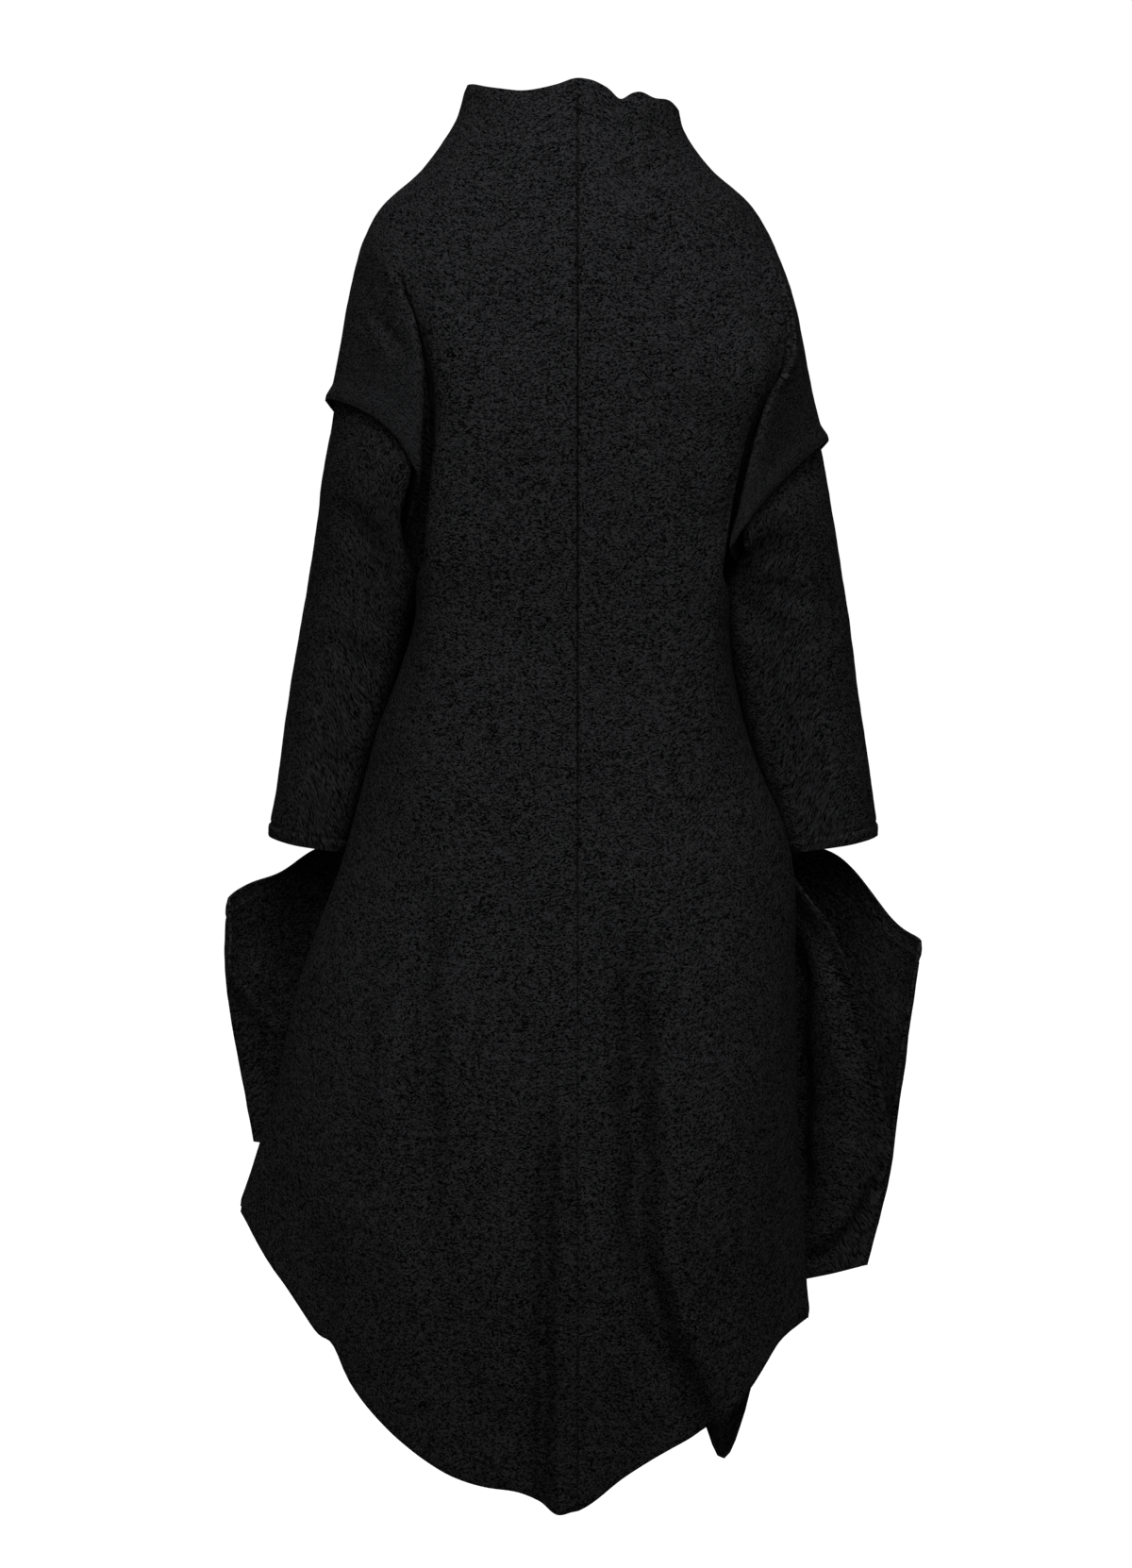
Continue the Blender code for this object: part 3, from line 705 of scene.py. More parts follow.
# %% Creases of the fronts
FRONT_CREASES = table(
    CREASE_COLUMNS,
    (-0.156, -0.060, -0.132, -0.210, 0.006, 0.0080, -0.0080, -0.0030, 0.30, 0.10),
    (-0.120, -0.330, -0.052, -0.392, 0.006, 0.0120, -0.0035, 0.0015, 0.40, 0.40),
    (-0.110, -0.420, -0.045, -0.440, -0.004, 0.0100, -0.0025, 0.0010, 0.40, 0.40),
    (-0.104, -0.500, -0.130, -1.060, 0.006, 0.0180, -0.0140, 0.0040, 0.35, 0.02),
    (-0.056, -0.620, -0.062, -1.040, 0.000, 0.0140, -0.0060, 0.0025, 0.40, 0.02),
    (-0.180, -0.640, -0.216, -0.960, 0.004, 0.0150, -0.0065, 0.0025, 0.40, 0.10),
    (-0.085, 0.030, -0.050, -0.060, 0.005, 0.0130, -0.0025, 0.0010, 0.40, 0.40),
    (0.186, -0.100, 0.128, -0.300, -0.008, 0.0080, -0.0080, -0.0040, 0.20, 0.05),
    (0.116, -0.345, 0.050, -0.380, 0.005, 0.0130, -0.0035, 0.0015, 0.40, 0.40),
    (0.104, -0.520, 0.132, -1.080, 0.006, 0.0170, -0.0130, 0.0045, 0.35, 0.02),
    (0.058, -0.680, 0.066, -1.040, 0.000, 0.0150, -0.0070, 0.0030, 0.40, 0.02),
    (0.150, -0.740, 0.168, -1.000, 0.004, 0.0130, -0.0050, 0.0020, 0.40, 0.10),
    (0.070, 0.030, 0.046, -0.070, 0.004, 0.0120, -0.0025, 0.0010, 0.40, 0.40),
)
print("creases on the fronts:", len(FRONT_CREASES))

# %% Waves of the neck edge and the hem
# A row per wave: where it lies across the coat, how far it lifts the edge and its width
WAVE_COLUMNS = "place lift width"
NECK_WAVES = table(
    WAVE_COLUMNS,
    (-0.094, 0.004, 0.012),
    (-0.046, -0.005, 0.024),
    (0.000, 0.005, 0.013),
    (0.014, 0.002, 0.008),
    (0.036, -0.008, 0.008),
    (0.056, 0.003, 0.008),
    (0.080, 0.008, 0.012),
)
NECK_REACH = 0.030  # how far down the waves are felt
HEM_WAVES = table(
    WAVE_COLUMNS,
    (-0.270, -0.011, 0.020),
    (-0.208, 0.012, 0.009),
    (-0.110, 0.0025, 0.060),
    (-0.048, 0.004, 0.020),
    (-0.018, -0.006, 0.012),
    (0.050, 0.004, 0.045),
    (0.170, 0.013, 0.020),
)
HEM_REACH = 0.060


def edge_lift(waves, places):
    return sum(wave["lift"] * np.exp(-(((places - wave["place"]) / wave["width"]) ** 2)) for wave in waves)


def wave_edges(points):
    """Lets a back's neck edge and hem rise and fall, fading out over the cloth beside them."""
    down = measured(points, 0)
    from_neck = smooth_step(1 - down / NECK_REACH)
    from_hem = smooth_step(1 - (down[-1] - down) / HEM_REACH)
    lift = from_neck * edge_lift(NECK_WAVES, points[:, :, 0])
    lift += from_hem * edge_lift(HEM_WAVES, points[:, :, 0])
    points[:, :, 2] += lift


# %% Rows and columns of a panel
BODY_STEPS = {"back": 108, "front": 72}
CAP_STEPS = {"back": 64, "front": 40}
UPPER_STEPS = {"back": 108, "front": 84}
LOWER_STEPS = {"back": 196, "front": 130}
FLOOR_STEPS = 6  # across the fold's floor
LAP_STEPS = 12
LINE_STEPS = 400  # along the centre back, to measure it
LAP_WIDTH = 0.035  # how far each front passes the centre line


def sections_between(first, last, count, pinch):
    """Sections that lie evenly along the centre back, closer together at both ends."""
    fine = np.linspace(first, last, LINE_STEPS)
    line = np.stack([size_at(CENTRE, "back_y", fine), size_at(CENTRE, "back_z", fine)], axis=1)
    length = path_length(line)
    return np.interp(pinched(count, pinch) * length[-1], length, fine)


def panel_places(side, face, section):
    """Places of the columns along a section; a front starts with its lap past the centre line."""
    body = SIDE * pinched(BODY_STEPS[face], pinch=0.6)
    floor = np.linspace(SIDE, SIDE + 1, FLOOR_STEPS + 1)[1:]
    cap = SIDE + 1 + (OVERARM - SIDE - 1) * pinched(CAP_STEPS[face], pinch=0.4)[1:]
    lap = np.empty(0)
    if face == "front":
        keys = upper_keys if section <= UNDERARM else lower_keys
        blade_x = keys(OTHER_SIDE[side], face, section)[1][0]
        lap = np.linspace(-LAP_WIDTH / blade_x, 0, LAP_STEPS, endpoint=False)
    return np.concatenate([lap, body, floor, cap])


UNDERARM_DROP = 0.016  # the cap's hem dips to a point where it meets the side seam
DROP_PLACE = SIDE + 0.6
DROP_SPREAD = 1.3  # how far across the dip is felt, in key points
DROP_ABOVE = 1.4  # how far above the underarm it is felt, in sections; below, it is one section


def panel_grid(side, face):
    """Inside of a panel as a grid of points, with each point's place and section."""
    upper = sections_between(0, UNDERARM, UPPER_STEPS[face], pinch=0.5)
    lower = sections_between(UNDERARM, HEM, LOWER_STEPS[face], pinch=0.4)[1:]
    sections = np.concatenate([upper, lower])
    places = np.array([panel_places(side, face, section) for section in sections])
    on_cap = places[0] > SIDE
    points = np.empty((*places.shape, 3))
    hem_row = len(upper) - 1
    for row, section in enumerate(sections):
        shown = ~on_cap if row > hem_row else slice(None)
        points[row, shown] = panel_row(side, face, section, places[row, shown])
    beyond = np.arange(1, len(lower) + 1)[:, None, None]
    step = points[hem_row, on_cap] - points[hem_row - 1, on_cap]
    points[hem_row + 1 :, on_cap] = points[hem_row, on_cap] + beyond * step
    near = smooth_step(1 - np.abs(places - DROP_PLACE) / DROP_SPREAD)
    past = sections - UNDERARM
    level = np.where(past <= 0, 1 + past / DROP_ABOVE, 1 - past)
    points[:, :, 2] -= UNDERARM_DROP * near * smooth_step(level)[:, None]
    keep = ~(on_cap[None, :] & (sections > UNDERARM)[:, None])
    return points, places, sections, keep


# %% Rolled edges
# How far the cloth turns in at an edge, and the width over which it does
CENTRE_ROLL = (0.0026, 0.0012)  # at the centre back seam
SEAM_ROLL = (0.0009, 0.0032)  # at the other seams
HEM_ROLL = (0.0012, 0.0040)
CENTRE_START = 0.016  # the turned neck edge hides the top of the centre back seam
CENTRE_FADE = 0.006  # length over which it sets in there
SKIRT_SHARE = 0.3  # how much of its roll is left from the thigh down


def roll(distance, depth, width):
    return -depth * np.exp(-((distance / width) ** 2))


def panel_edges(points, places, sections, face):
    """Height of the rolled edges: seams turn in sharply, hems softly."""
    across = measured(points, 1)
    down = measured(points, 0)
    hem_row = np.searchsorted(sections, UNDERARM)
    side_column = np.searchsorted(places[0], SIDE)
    height = roll(across[:, -1:] - across, *SEAM_ROLL)
    side_seam = roll(across[:, side_column, None] - across, *SEAM_ROLL)
    height[hem_row + 1 :] = side_seam[hem_row + 1 :]
    if face == "back":
        shown = smooth_step((down - CENTRE_START) / CENTRE_FADE)
        shown *= mix(1, SKIRT_SHARE, smooth_step((sections - WAIST) / (THIGH - WAIST)))[:, None]
        height += shown * roll(across, *CENTRE_ROLL)
    else:
        height += roll(across, *HEM_ROLL)
    height += roll(down, *HEM_ROLL)
    height += roll(down[-1] - down, *HEM_ROLL)
    cap_hem = roll(down[hem_row] - down, *HEM_ROLL)
    cap_hem[:, : side_column + FLOOR_STEPS] = 0
    return height + cap_hem


# How far the cap's hem stands out at the arm's crest and at the overarm seam, and from how far above
CAP_FLARE = (0.0030, 0.0048)
CAP_FLARE_REACH = (0.034, 0.017)
FLARE_START = SIDE + 1.1  # place where the hem begins to stand out
FLARE_FADE = 0.6  # in key points


def cap_flare(points, places, sections):
    """Height of the cap's hem where it stands off the sleeve, none beside the body."""
    down = measured(points, 0)
    hem_row = np.searchsorted(sections, UNDERARM)
    outer = smooth_step(places - OVERARM + 1)
    near = smooth_step(1 - (down[hem_row] - down) / mix(*CAP_FLARE_REACH, outer))
    return mix(*CAP_FLARE, outer) * near * smooth_step((places - FLARE_START) / FLARE_FADE)


# First and last section of the sharp crease down the arm's fold, and its depth
FOLD_LINE = {"left": (4.1, 6.7, 0.010), "right": (4.25, 6.8, 0.010)}
FOLD_LINE_FADE = 0.5  # in sections
FOLD_LINE_WIDTH = 0.42  # in key points
FLOOR_MIDDLE = SIDE + 0.5


def fold_line(side, places, sections):
    """Depth of that crease, which follows the columns of the fold's floor."""
    first, last, depth = FOLD_LINE[side]
    ends = np.minimum(sections - first, last - sections)
    shown = smooth_step(ends / FOLD_LINE_FADE)
    return depth * shown[:, None] * np.exp(-(((places - FLOOR_MIDDLE) / FOLD_LINE_WIDTH) ** 2))


# %% Make the four panels
SEAM_LAP = 0.0002  # how far backs and fronts reach past their seam's line, so that no light shows
FRONT_LIFT = WALL + 0.0030  # the right front lies on the left one
LAP_FADE = 0.050  # width over which the lapped front settles down again


def lap_fronts(points):
    """Lifts the right front over the left one."""
    points[:, :, 1] += FRONT_LIFT * smooth_step(1 - (points[:, :, 0] - LAP_WIDTH) / LAP_FADE)


def panel_normals(points, places, sections, face):
    """Normals of the whole grid, and of the body alone where no cap hangs beside it."""
    outward = points * (1, 1, 0)
    normals = outward_normals(points, outward)
    side_column = np.searchsorted(places[0], SIDE) + 1
    hem_row = np.searchsorted(sections, UNDERARM) + 1
    body = outward_normals(points[:, :side_column], outward[:, :side_column])
    normals[hem_row:, :side_column] = body[hem_row:]
    if face == "back":
        normals[:, 0, 0] = 0.0
        normals[:, 0] = unit(normals[:, 0])
    return normals


def make_panel(side, face, creases):
    points, places, sections, keep = panel_grid(side, face)
    points -= (0, FACING[face] * SEAM_LAP, 0)
    if face == "back":
        wave_edges(points)
    elif side == "right":
        lap_fronts(points)
    normals = panel_normals(points, places, sections, face)
    height = rumple_height(points) + panel_edges(points, places, sections, face)
    height += cap_flare(points, places, sections)
    outside = raised(points, normals, height)
    drape = crease_height(creases, points) * facing_share(normals, face)
    if face == "back":
        drape -= fold_line(side, places, sections)
    outside[:, :, 1] += FACING[face] * drape
    cut_map = np.stack([measured(points, 1), -measured(points, 0)], axis=2)
    return make_cloth(f"cloth_{face}_{side}", outside, normals, cut_map, keep)


backs = {side: make_panel(side, "back", BACK_CREASES) for side in SIGN}
fronts = {side: make_panel(side, "front", FRONT_CREASES) for side in SIGN}

# %% [markdown]
# ## Lower sleeves
# Each lower sleeve is a tube set under the cap. Its head follows the cap's inside, a little smaller, and
# below the cap's hem it opens into an oval tube that hangs forward over the bent elbow. Rings from a
# table give its form, and the head's few points are joined by a closed curve.

# %% Rings of the sleeves
SLEEVE_SEAT = 0.0030  # from the cap's inside to the sleeve head, at the overarm seam
SLEEVE_EASE = {"left": 0.0065, "right": 0.0120}  # the same at the arm's crests
INNER_EASE = 0.0020  # the same beside the body
SLEEVE_NOSE = 0.006  # how far the sleeve head stays out of the underarm's corner
HEAD_STEPS = 3  # head points in each quarter turn
HEAD_SECTION = 6.75  # where the sleeve head begins, inside the cap
CUFF_DIP = 0.006  # the cuff hangs lower at the back
# How far inwards and forwards the sleeve closes the underarm's gap
UNDERARM_LAP = {"left": (0.009, 0.040), "right": (0.015, 0.006)}
LAP_TURN = {"left": 2.4, "right": 1.7}  # where it does, by quarter turns, fading out over LAP_SPREAD
LAP_SPREAD = 0.9
# Over how many rings below the cap's hem it sets in and fades
LAP_RINGS = {"left": (0.40, 2.6), "right": (0.12, 1.4)}
SQUARENESS = {"left": 1.6, "right": 3.2}  # how far from an oval the sleeve's inner back corner is
CORNER_TURN = 1.5  # where that corner lies, by quarter turns, fading out over CORNER_SPREAD
CORNER_SPREAD = 0.9
RING_COUNT = 6

SLEEVES = {
    "left": table(
        "out_z in_z out_x width mid_y depth",
        (-0.185, -0.312, 0.2085, 0.056, -0.008, 0.148),
        (-0.240, -0.345, 0.2185, 0.0790, 0.018, 0.146),
        (-0.308, -0.385, 0.2285, 0.0800, 0.040, 0.152),
        (-0.373, -0.425, 0.2398, 0.082, 0.055, 0.156),
        (-0.455, -0.480, 0.2537, 0.077, 0.065, 0.150),
        (-0.521, -0.533, 0.2630, 0.072, 0.070, 0.144),
        (-0.557, -0.568, 0.2702, 0.069, 0.074, 0.140),
    ),
    "right": table(
        "out_z in_z out_x width mid_y depth",
        (-0.213, -0.330, 0.2095, 0.064, 0.004, 0.140),
        (-0.267, -0.354, 0.2185, 0.0885, 0.026, 0.146),
        (-0.332, -0.396, 0.2295, 0.0980, 0.046, 0.152),
        (-0.398, -0.445, 0.2400, 0.099, 0.061, 0.151),
        (-0.463, -0.492, 0.2492, 0.094, 0.069, 0.146),
        (-0.521, -0.536, 0.2572, 0.086, 0.074, 0.142),
        (-0.557, -0.568, 0.2635, 0.079, 0.077, 0.138),
    ),
}


def head_half(side, face, section):
    """Half of the sleeve head, from the overarm to the underarm: the cap's inside, moved in."""
    steps = np.arange(2 * HEAD_STEPS + 1) / HEAD_STEPS
    points = half_row(side, face, section, OVERARM - steps)
    tangents = np.gradient(points, axis=0)
    inward = unit(np.stack([-tangents[:, 1], tangents[:, 0], np.zeros(len(points))], axis=1))
    inward *= -SIGN[side] * np.sign(inward[0, 0])
    inward[0] = (-SIGN[side], 0, 0)
    ease = mix(SLEEVE_SEAT, SLEEVE_EASE[side], np.sin(np.pi / 2 * np.minimum(steps, 1)))
    ease = mix(ease, INNER_EASE, smooth_step(steps - 1))
    return points + inward * (WALL + ease)[:, None]


def head_ring(side, section, turns):
    """Sleeve head as a closed curve, by quarter turns from the overarm round the back."""
    back = head_half(side, "back", section)
    front = head_half(side, "front", section)
    corners = [half_row(side, face, section, np.array([OVERARM - 2.0]))[0] for face in FACING]
    nose = mix(corners[0], corners[1], 0.5) + (SIGN[side] * SLEEVE_NOSE, 0, 0)
    ring = np.concatenate([back[:-1], [nose], front[-2:0:-1]])
    keys = np.concatenate([ring[-1:], ring, ring[:2]])
    return along_keys(keys, turns * HEAD_STEPS)


def oval_ring(side, place, turns):
    """Lower sleeve as an oval ring, by the same quarter turns, squarer at the inner back corner."""
    ring = {name: size_at(SLEEVES[side], name, place) for name in SLEEVES[side][0]}
    outward = np.cos(np.pi / 2 * turns)
    backward = np.sin(np.pi / 2 * turns)
    power = 2 + SQUARENESS[side] * smooth_step(1 - np.abs(turns - CORNER_TURN) / CORNER_SPREAD)
    reach = (np.abs(outward) ** power + np.abs(backward) ** power) ** (-1 / power)
    outward = outward * reach
    backward = backward * reach
    x = SIGN[side] * (ring["out_x"] - ring["width"] / 2 + outward * ring["width"] / 2)
    y = ring["mid_y"] - backward * ring["depth"] / 2
    z = mix(ring["in_z"], ring["out_z"], (1 + outward) / 2)
    z = z - CUFF_DIP * np.maximum(backward, 0) * smooth_step(place - RING_COUNT + 1)
    return np.stack([x, y, z], axis=1)


# %% Creases of the sleeves
SLEEVE_CREASES = {
    "back": table(
        CREASE_COLUMNS,
        # left sleeve: seam down the inner side, then soft drags of the elbow
        (-0.141, -0.335, -0.187, -0.575, 0.004, 0.0025, -0.0016, 0.0006, 0.05, 0.02),
        (-0.212, -0.268, -0.176, -0.318, 0.004, 0.0120, -0.0040, 0.0020, 0.40, 0.45),
        (-0.218, -0.380, -0.178, -0.430, 0.004, 0.0150, -0.0035, 0.0015, 0.40, 0.40),
        (-0.236, -0.470, -0.200, -0.520, 0.003, 0.0150, -0.0025, 0.0010, 0.40, 0.40),
        # right sleeve, in the same order
        (0.140, -0.335, 0.180, -0.575, 0.004, 0.0025, -0.0016, 0.0006, 0.05, 0.02),
        (0.136, -0.322, 0.176, -0.392, -0.004, 0.0120, -0.0065, 0.0025, 0.30, 0.40),
        (0.150, -0.342, 0.206, -0.362, 0.003, 0.0120, -0.0045, 0.0015, 0.30, 0.40),
        (0.216, -0.430, 0.176, -0.470, 0.003, 0.0150, -0.0030, 0.0015, 0.40, 0.40),
    ),
    "front": table(
        CREASE_COLUMNS,
        (-0.160, -0.330, -0.214, -0.372, 0.004, 0.0120, -0.0060, 0.0025, 0.30, 0.40),
        (-0.168, -0.372, -0.216, -0.420, 0.004, 0.0130, -0.0050, 0.0020, 0.30, 0.40),
        (-0.190, -0.460, -0.226, -0.500, 0.003, 0.0130, -0.0030, 0.0010, 0.40, 0.40),
        (0.150, -0.345, 0.208, -0.380, 0.004, 0.0130, -0.0060, 0.0025, 0.30, 0.40),
        (0.160, -0.392, 0.210, -0.436, 0.004, 0.0120, -0.0050, 0.0020, 0.30, 0.40),
        (0.186, -0.470, 0.224, -0.516, 0.003, 0.0140, -0.0030, 0.0010, 0.40, 0.40),
    ),
}

# %% Make the sleeves
SLEEVE_COLUMNS = 124
HEAD_ROWS = 10
TUBE_ROWS = 130
CUFF_HEM = 0.011  # from the cuff's edge up to its stitching
STITCH_GROOVE = (0.0009, 0.0018)  # depth and width
HEM_BAND = 0.0006  # how much thicker a turned hem is
HEM_BAND_FADE = 0.003


def turned_hem(distance, width):
    """A turned and stitched hem: slightly thicker, with a groove along its stitching."""
    band = HEM_BAND * smooth_step((width - distance) / HEM_BAND_FADE)
    groove = roll(distance - width, *STITCH_GROOVE)
    return band + groove + roll(distance, *HEM_ROLL)


def sleeve_grid(side):
    """Inside of a sleeve as a grid of points: rings from its head down to the cuff."""
    turns = np.linspace(0, 4, SLEEVE_COLUMNS + 1)
    sections = np.linspace(HEAD_SECTION, UNDERARM, HEAD_ROWS + 1)
    rows = [head_ring(side, section, turns) for section in sections]
    hem = rows[-1]
    tube = RING_COUNT * pinched(TUBE_ROWS, pinch=0.5)[1:]
    for place in tube:
        rows.append(mix(hem, oval_ring(side, place, turns), smooth_step(place)))
    sets_in, fades = LAP_RINGS[side]
    below = smooth_step(tube / sets_in) * smooth_step(1 - tube / fades)
    level = np.append(np.zeros(HEAD_ROWS + 1), below)
    lap = level[:, None] * smooth_step(1 - np.abs(turns - LAP_TURN[side]) / LAP_SPREAD)
    inwards, forwards = UNDERARM_LAP[side]
    return np.array(rows) + lap[:, :, None] * (-SIGN[side] * inwards, forwards, 0)


def make_sleeve(side):
    points = sleeve_grid(side)
    axis = points.mean(axis=1, keepdims=True)
    normals = outward_normals(points, (points - axis) * (1, 1, 0))
    seam = (normals[:, :1] + normals[:, -1:]) / 2
    normals[:, :1] = seam
    normals[:, -1:] = seam
    height = draped_height(points, normals, SLEEVE_CREASES)
    down = measured(points, 0)
    height += turned_hem(down[-1] - down, CUFF_HEM)
    outside = raised(points, normals, height)
    cut_map = np.stack([measured(points, 1), -down], axis=2)
    cloth = make_cloth(f"cloth_sleeve_{side}", outside, normals, cut_map)
    return cloth, outside


sleeves = {side: make_sleeve(side) for side in SIGN}

# %% [markdown]
# ## Standing pockets
# A pocket is one piece of cloth that leaves the side of the front, runs out to a folded edge and comes
# back to the front, open at the top like a bag. It stands away from the coat, so from behind one sees
# its back wall, its mouth and the dark inside.

# %% Pocket sizes
POCKETS = {
    "left": table(
        "x y z belly_at back_belly back_rise front_belly front_rise landing",
        (0.303, 0.050, -0.614, 0.60, 0.026, 0.020, 0.050, 0.026, 1.00),
        (0.306, 0.050, -0.668, 0.60, 0.032, 0.006, 0.046, 0.013, 1.10),
        (0.300, 0.048, -0.722, 0.60, 0.028, 0.000, 0.036, 0.005, 1.22),
        (0.290, 0.046, -0.778, 0.58, 0.018, 0.000, 0.024, 0.000, 1.36),
        (0.281, 0.046, -0.826, 0.55, 0.011, 0.000, 0.010, 0.000, 1.52),
    ),
    "right": table(
        "x y z belly_at back_belly back_rise front_belly front_rise landing",
        (0.299, 0.046, -0.652, 0.40, 0.034, 0.002, 0.050, 0.046, 1.00),
        (0.289, 0.046, -0.722, 0.50, 0.042, 0.002, 0.048, 0.028, 1.08),
        (0.280, 0.046, -0.792, 0.64, 0.040, 0.000, 0.040, 0.012, 1.20),
        (0.270, 0.044, -0.862, 0.70, 0.028, 0.000, 0.026, 0.000, 1.34),
        (0.252, 0.042, -0.934, 0.60, 0.008, 0.000, 0.010, 0.000, 1.50),
    ),
}
POCKET_SECTIONS = {"left": (10.0, 10.43, 12.14), "right": (10.0, 10.22, 12.70)}
POCKET_START = 1.42  # where the back wall leaves the front panel, in key points
FRONT_BELLY_AT = 0.55  # where the front wall bellies out most, as a share of the way to the folded edge
BACK_SEAT = 0.0062  # from the front panel to the inner edge of the pocket's back wall
FRONT_SEAT = -0.0012  # the same at its front wall, which is sewn down into the cloth
BESIDE = np.array((-0.05, 0.0, 0.05))  # places that show which way the panel faces


def landing_point(side, section, place, seat):
    """Point over the front panel's outside, with the pocket's seat left clear."""
    before, point, after = half_row(side, "front", section, place + BESIDE)
    along = after - before
    outward = np.array((along[1], -along[0], 0)) / math.hypot(along[0], along[1])
    return point + outward * math.copysign(WALL + seat, outward[0] * SIGN[side])


def pocket_row(side, share, places):
    """One row of the pocket, from the side of the front out to the folded edge and back."""
    rows = POCKETS[side]
    edge = {name: size_at(rows, name, share * (len(rows) - 1)) for name in rows[0]}
    front_top, back_top, bottom = POCKET_SECTIONS[side]
    start = landing_point(side, mix(back_top, bottom, share), POCKET_START, BACK_SEAT)
    end = landing_point(side, mix(front_top, bottom, share), edge["landing"], FRONT_SEAT)
    fold = np.array((SIGN[side] * edge["x"], edge["y"], edge["z"]))
    back = mix(start, fold, edge["belly_at"]) + (0, -edge["back_belly"], edge["back_rise"])
    front = mix(end, fold, FRONT_BELLY_AT) + (0, edge["front_belly"], edge["front_rise"])
    keys = [2 * start - back, start, back, fold, front, end, 2 * end - front]
    return along_keys(keys, places)


# %% Creases of the pockets
POCKET_CREASES = {
    "back": table(
        CREASE_COLUMNS,
        (-0.290, -0.740, -0.262, -0.810, 0.003, 0.0100, -0.0040, 0.0015, 0.40, 0.30),
        (0.188, -0.620, 0.191, -0.905, 0.000, 0.0125, -0.0160, 0.0000, 0.25, 0.20),
        (0.206, -0.640, 0.250, -0.820, 0.000, 0.0140, 0.0060, 0.0000, 0.30, 0.30),
        (0.261, -0.852, 0.200, -0.932, 0.013, 0.0065, -0.0080, -0.0030, 0.15, 0.10),
        (0.272, -0.700, 0.248, -0.716, 0.000, 0.0080, -0.0030, 0.0010, 0.40, 0.40),
    ),
    "front": table(
        CREASE_COLUMNS,
        (-0.296, -0.660, -0.226, -0.760, 0.006, 0.0120, -0.0080, 0.0030, 0.25, 0.35),
        (-0.230, -0.620, -0.216, -0.740, 0.004, 0.0110, -0.0040, 0.0020, 0.30, 0.40),
        (0.290, -0.690, 0.214, -0.820, 0.008, 0.0120, -0.0080, 0.0030, 0.25, 0.35),
        (0.214, -0.640, 0.208, -0.800, 0.004, 0.0120, -0.0045, 0.0020, 0.30, 0.40),
    ),
}

# %% Make the pockets
POCKET_COLUMNS = 120
POCKET_ROWS = 96
POCKET_KEYS = 4
POCKET_HEM = 0.015  # from the mouth's edge down to its stitching
MOUTH_LEAN = 0.010  # how far the back wall's free edge falls outwards
LEAN_REACH = 0.040  # how far down it does
SEWN_REACH = 0.020  # how near to the sewn edges the creases fade out
FOLD_PLACE = 1.9  # where the back wall ends at the folded edge
FRONT_FADE, BACK_FADE = 0.2, 0.3  # widths over which a wall's edge sets in, in key points
MOUTH_REACH = 0.075  # how far down the mouth's waves are felt
# Rises and dips of the mouth's edge: places as in pocket_row
MOUTH_WAVES = {
    "left": table(WAVE_COLUMNS, (2.70, -0.008, 0.2), (3.1, 0.013, 0.6), (3.7, 0.014, 0.5)),
    "right": table(
        WAVE_COLUMNS,
        (0.35, 0.026, 0.40),
        (2.50, -0.016, 0.25),
        (3.10, 0.009, 0.50),
        (3.70, 0.012, 0.50),
    ),
}
# How much of the back wall is cut away, as a share of its height, a row for each part of a place
CUT_PARTS = 4
MOUTH_CUT = table(
    "left right",
    (0.56, 0.00),
    (0.56, 0.00),
    (0.54, 0.00),
    (0.49, 0.02),
    (0.44, 0.08),
    (0.37, 0.36),
    (0.31, 0.57),
    (0.24, 0.60),
    (0.04, 0.04),
    (0.00, 0.00),
)


def mouth_share(side, places):
    """Where the mouth's edge lies on each column, as a share of the pocket's height."""
    share = size_at(MOUTH_CUT, side, np.minimum(places * CUT_PARTS, len(MOUTH_CUT) - 1))
    return np.clip(share, 0.0, 1.0)


def make_pocket(side):
    places = np.linspace(0, POCKET_KEYS, POCKET_COLUMNS + 1)
    shares = np.linspace(0, 1, 2 * POCKET_ROWS + 1)
    whole = np.array([pocket_row(side, share, places) for share in shares])
    whole = np.dstack([whole, measured(whole, 1), -measured(whole, 0)])
    kept = np.empty((POCKET_ROWS + 1, *whole.shape[1:]))
    for column, cut in enumerate(mouth_share(side, places)):
        rows = mix(cut, 1, pinched(POCKET_ROWS, pinch=0.5))
        lines = [np.interp(rows, shares, values) for values in whole[:, column].T]
        kept[:, column] = np.stack(lines, axis=1)
    points, cut_map = kept[:, :, :3], kept[:, :, 3:]
    waves = edge_lift(MOUTH_WAVES[side], places)
    points[:, :, 2] += waves * smooth_step(1 - measured(points, 0) / MOUTH_REACH)
    outward = np.zeros_like(points)
    outward[:, :, 1] = np.where(places > POCKET_KEYS / 2, 1.0, -1.0)
    normals = outward_normals(points, outward)
    height = draped_height(points, normals, POCKET_CREASES)
    across = measured(points, 1)
    down = measured(points, 0)
    height *= smooth_step(np.minimum(across, across[:, -1:] - across) / SEWN_REACH)
    on_front = smooth_step((places - FOLD_PLACE) / FRONT_FADE)
    on_back = smooth_step(places / BACK_FADE) * smooth_step((FOLD_PLACE - places) / BACK_FADE)
    height += on_front * turned_hem(down, POCKET_HEM)
    height += on_back * MOUTH_LEAN * smooth_step(1 - down / LEAN_REACH)
    outside = raised(points, normals, height)
    cloth = make_cloth(f"cloth_pocket_{side}", outside, normals, cut_map)
    front = places >= POCKET_KEYS / 2
    return cloth, outside[:, front], (outside - normals * WALL)[:, front]


pockets = {side: make_pocket(side) for side in SIGN}

# %% [markdown]
# ## Stitching
# The cuffs and the front walls of the pocket mouths are turned once and topstitched, and a pocket shows
# the stitches on its inside too. Each stitch is a small capsule of thread that lies in its groove. They
# are many, so all stitches of one hem are joined into one mesh.

# %% Make the stitching
STITCH_PITCH = 0.0046
STITCH_LENGTH = 0.0034
THREAD_WIDTH = 0.0007


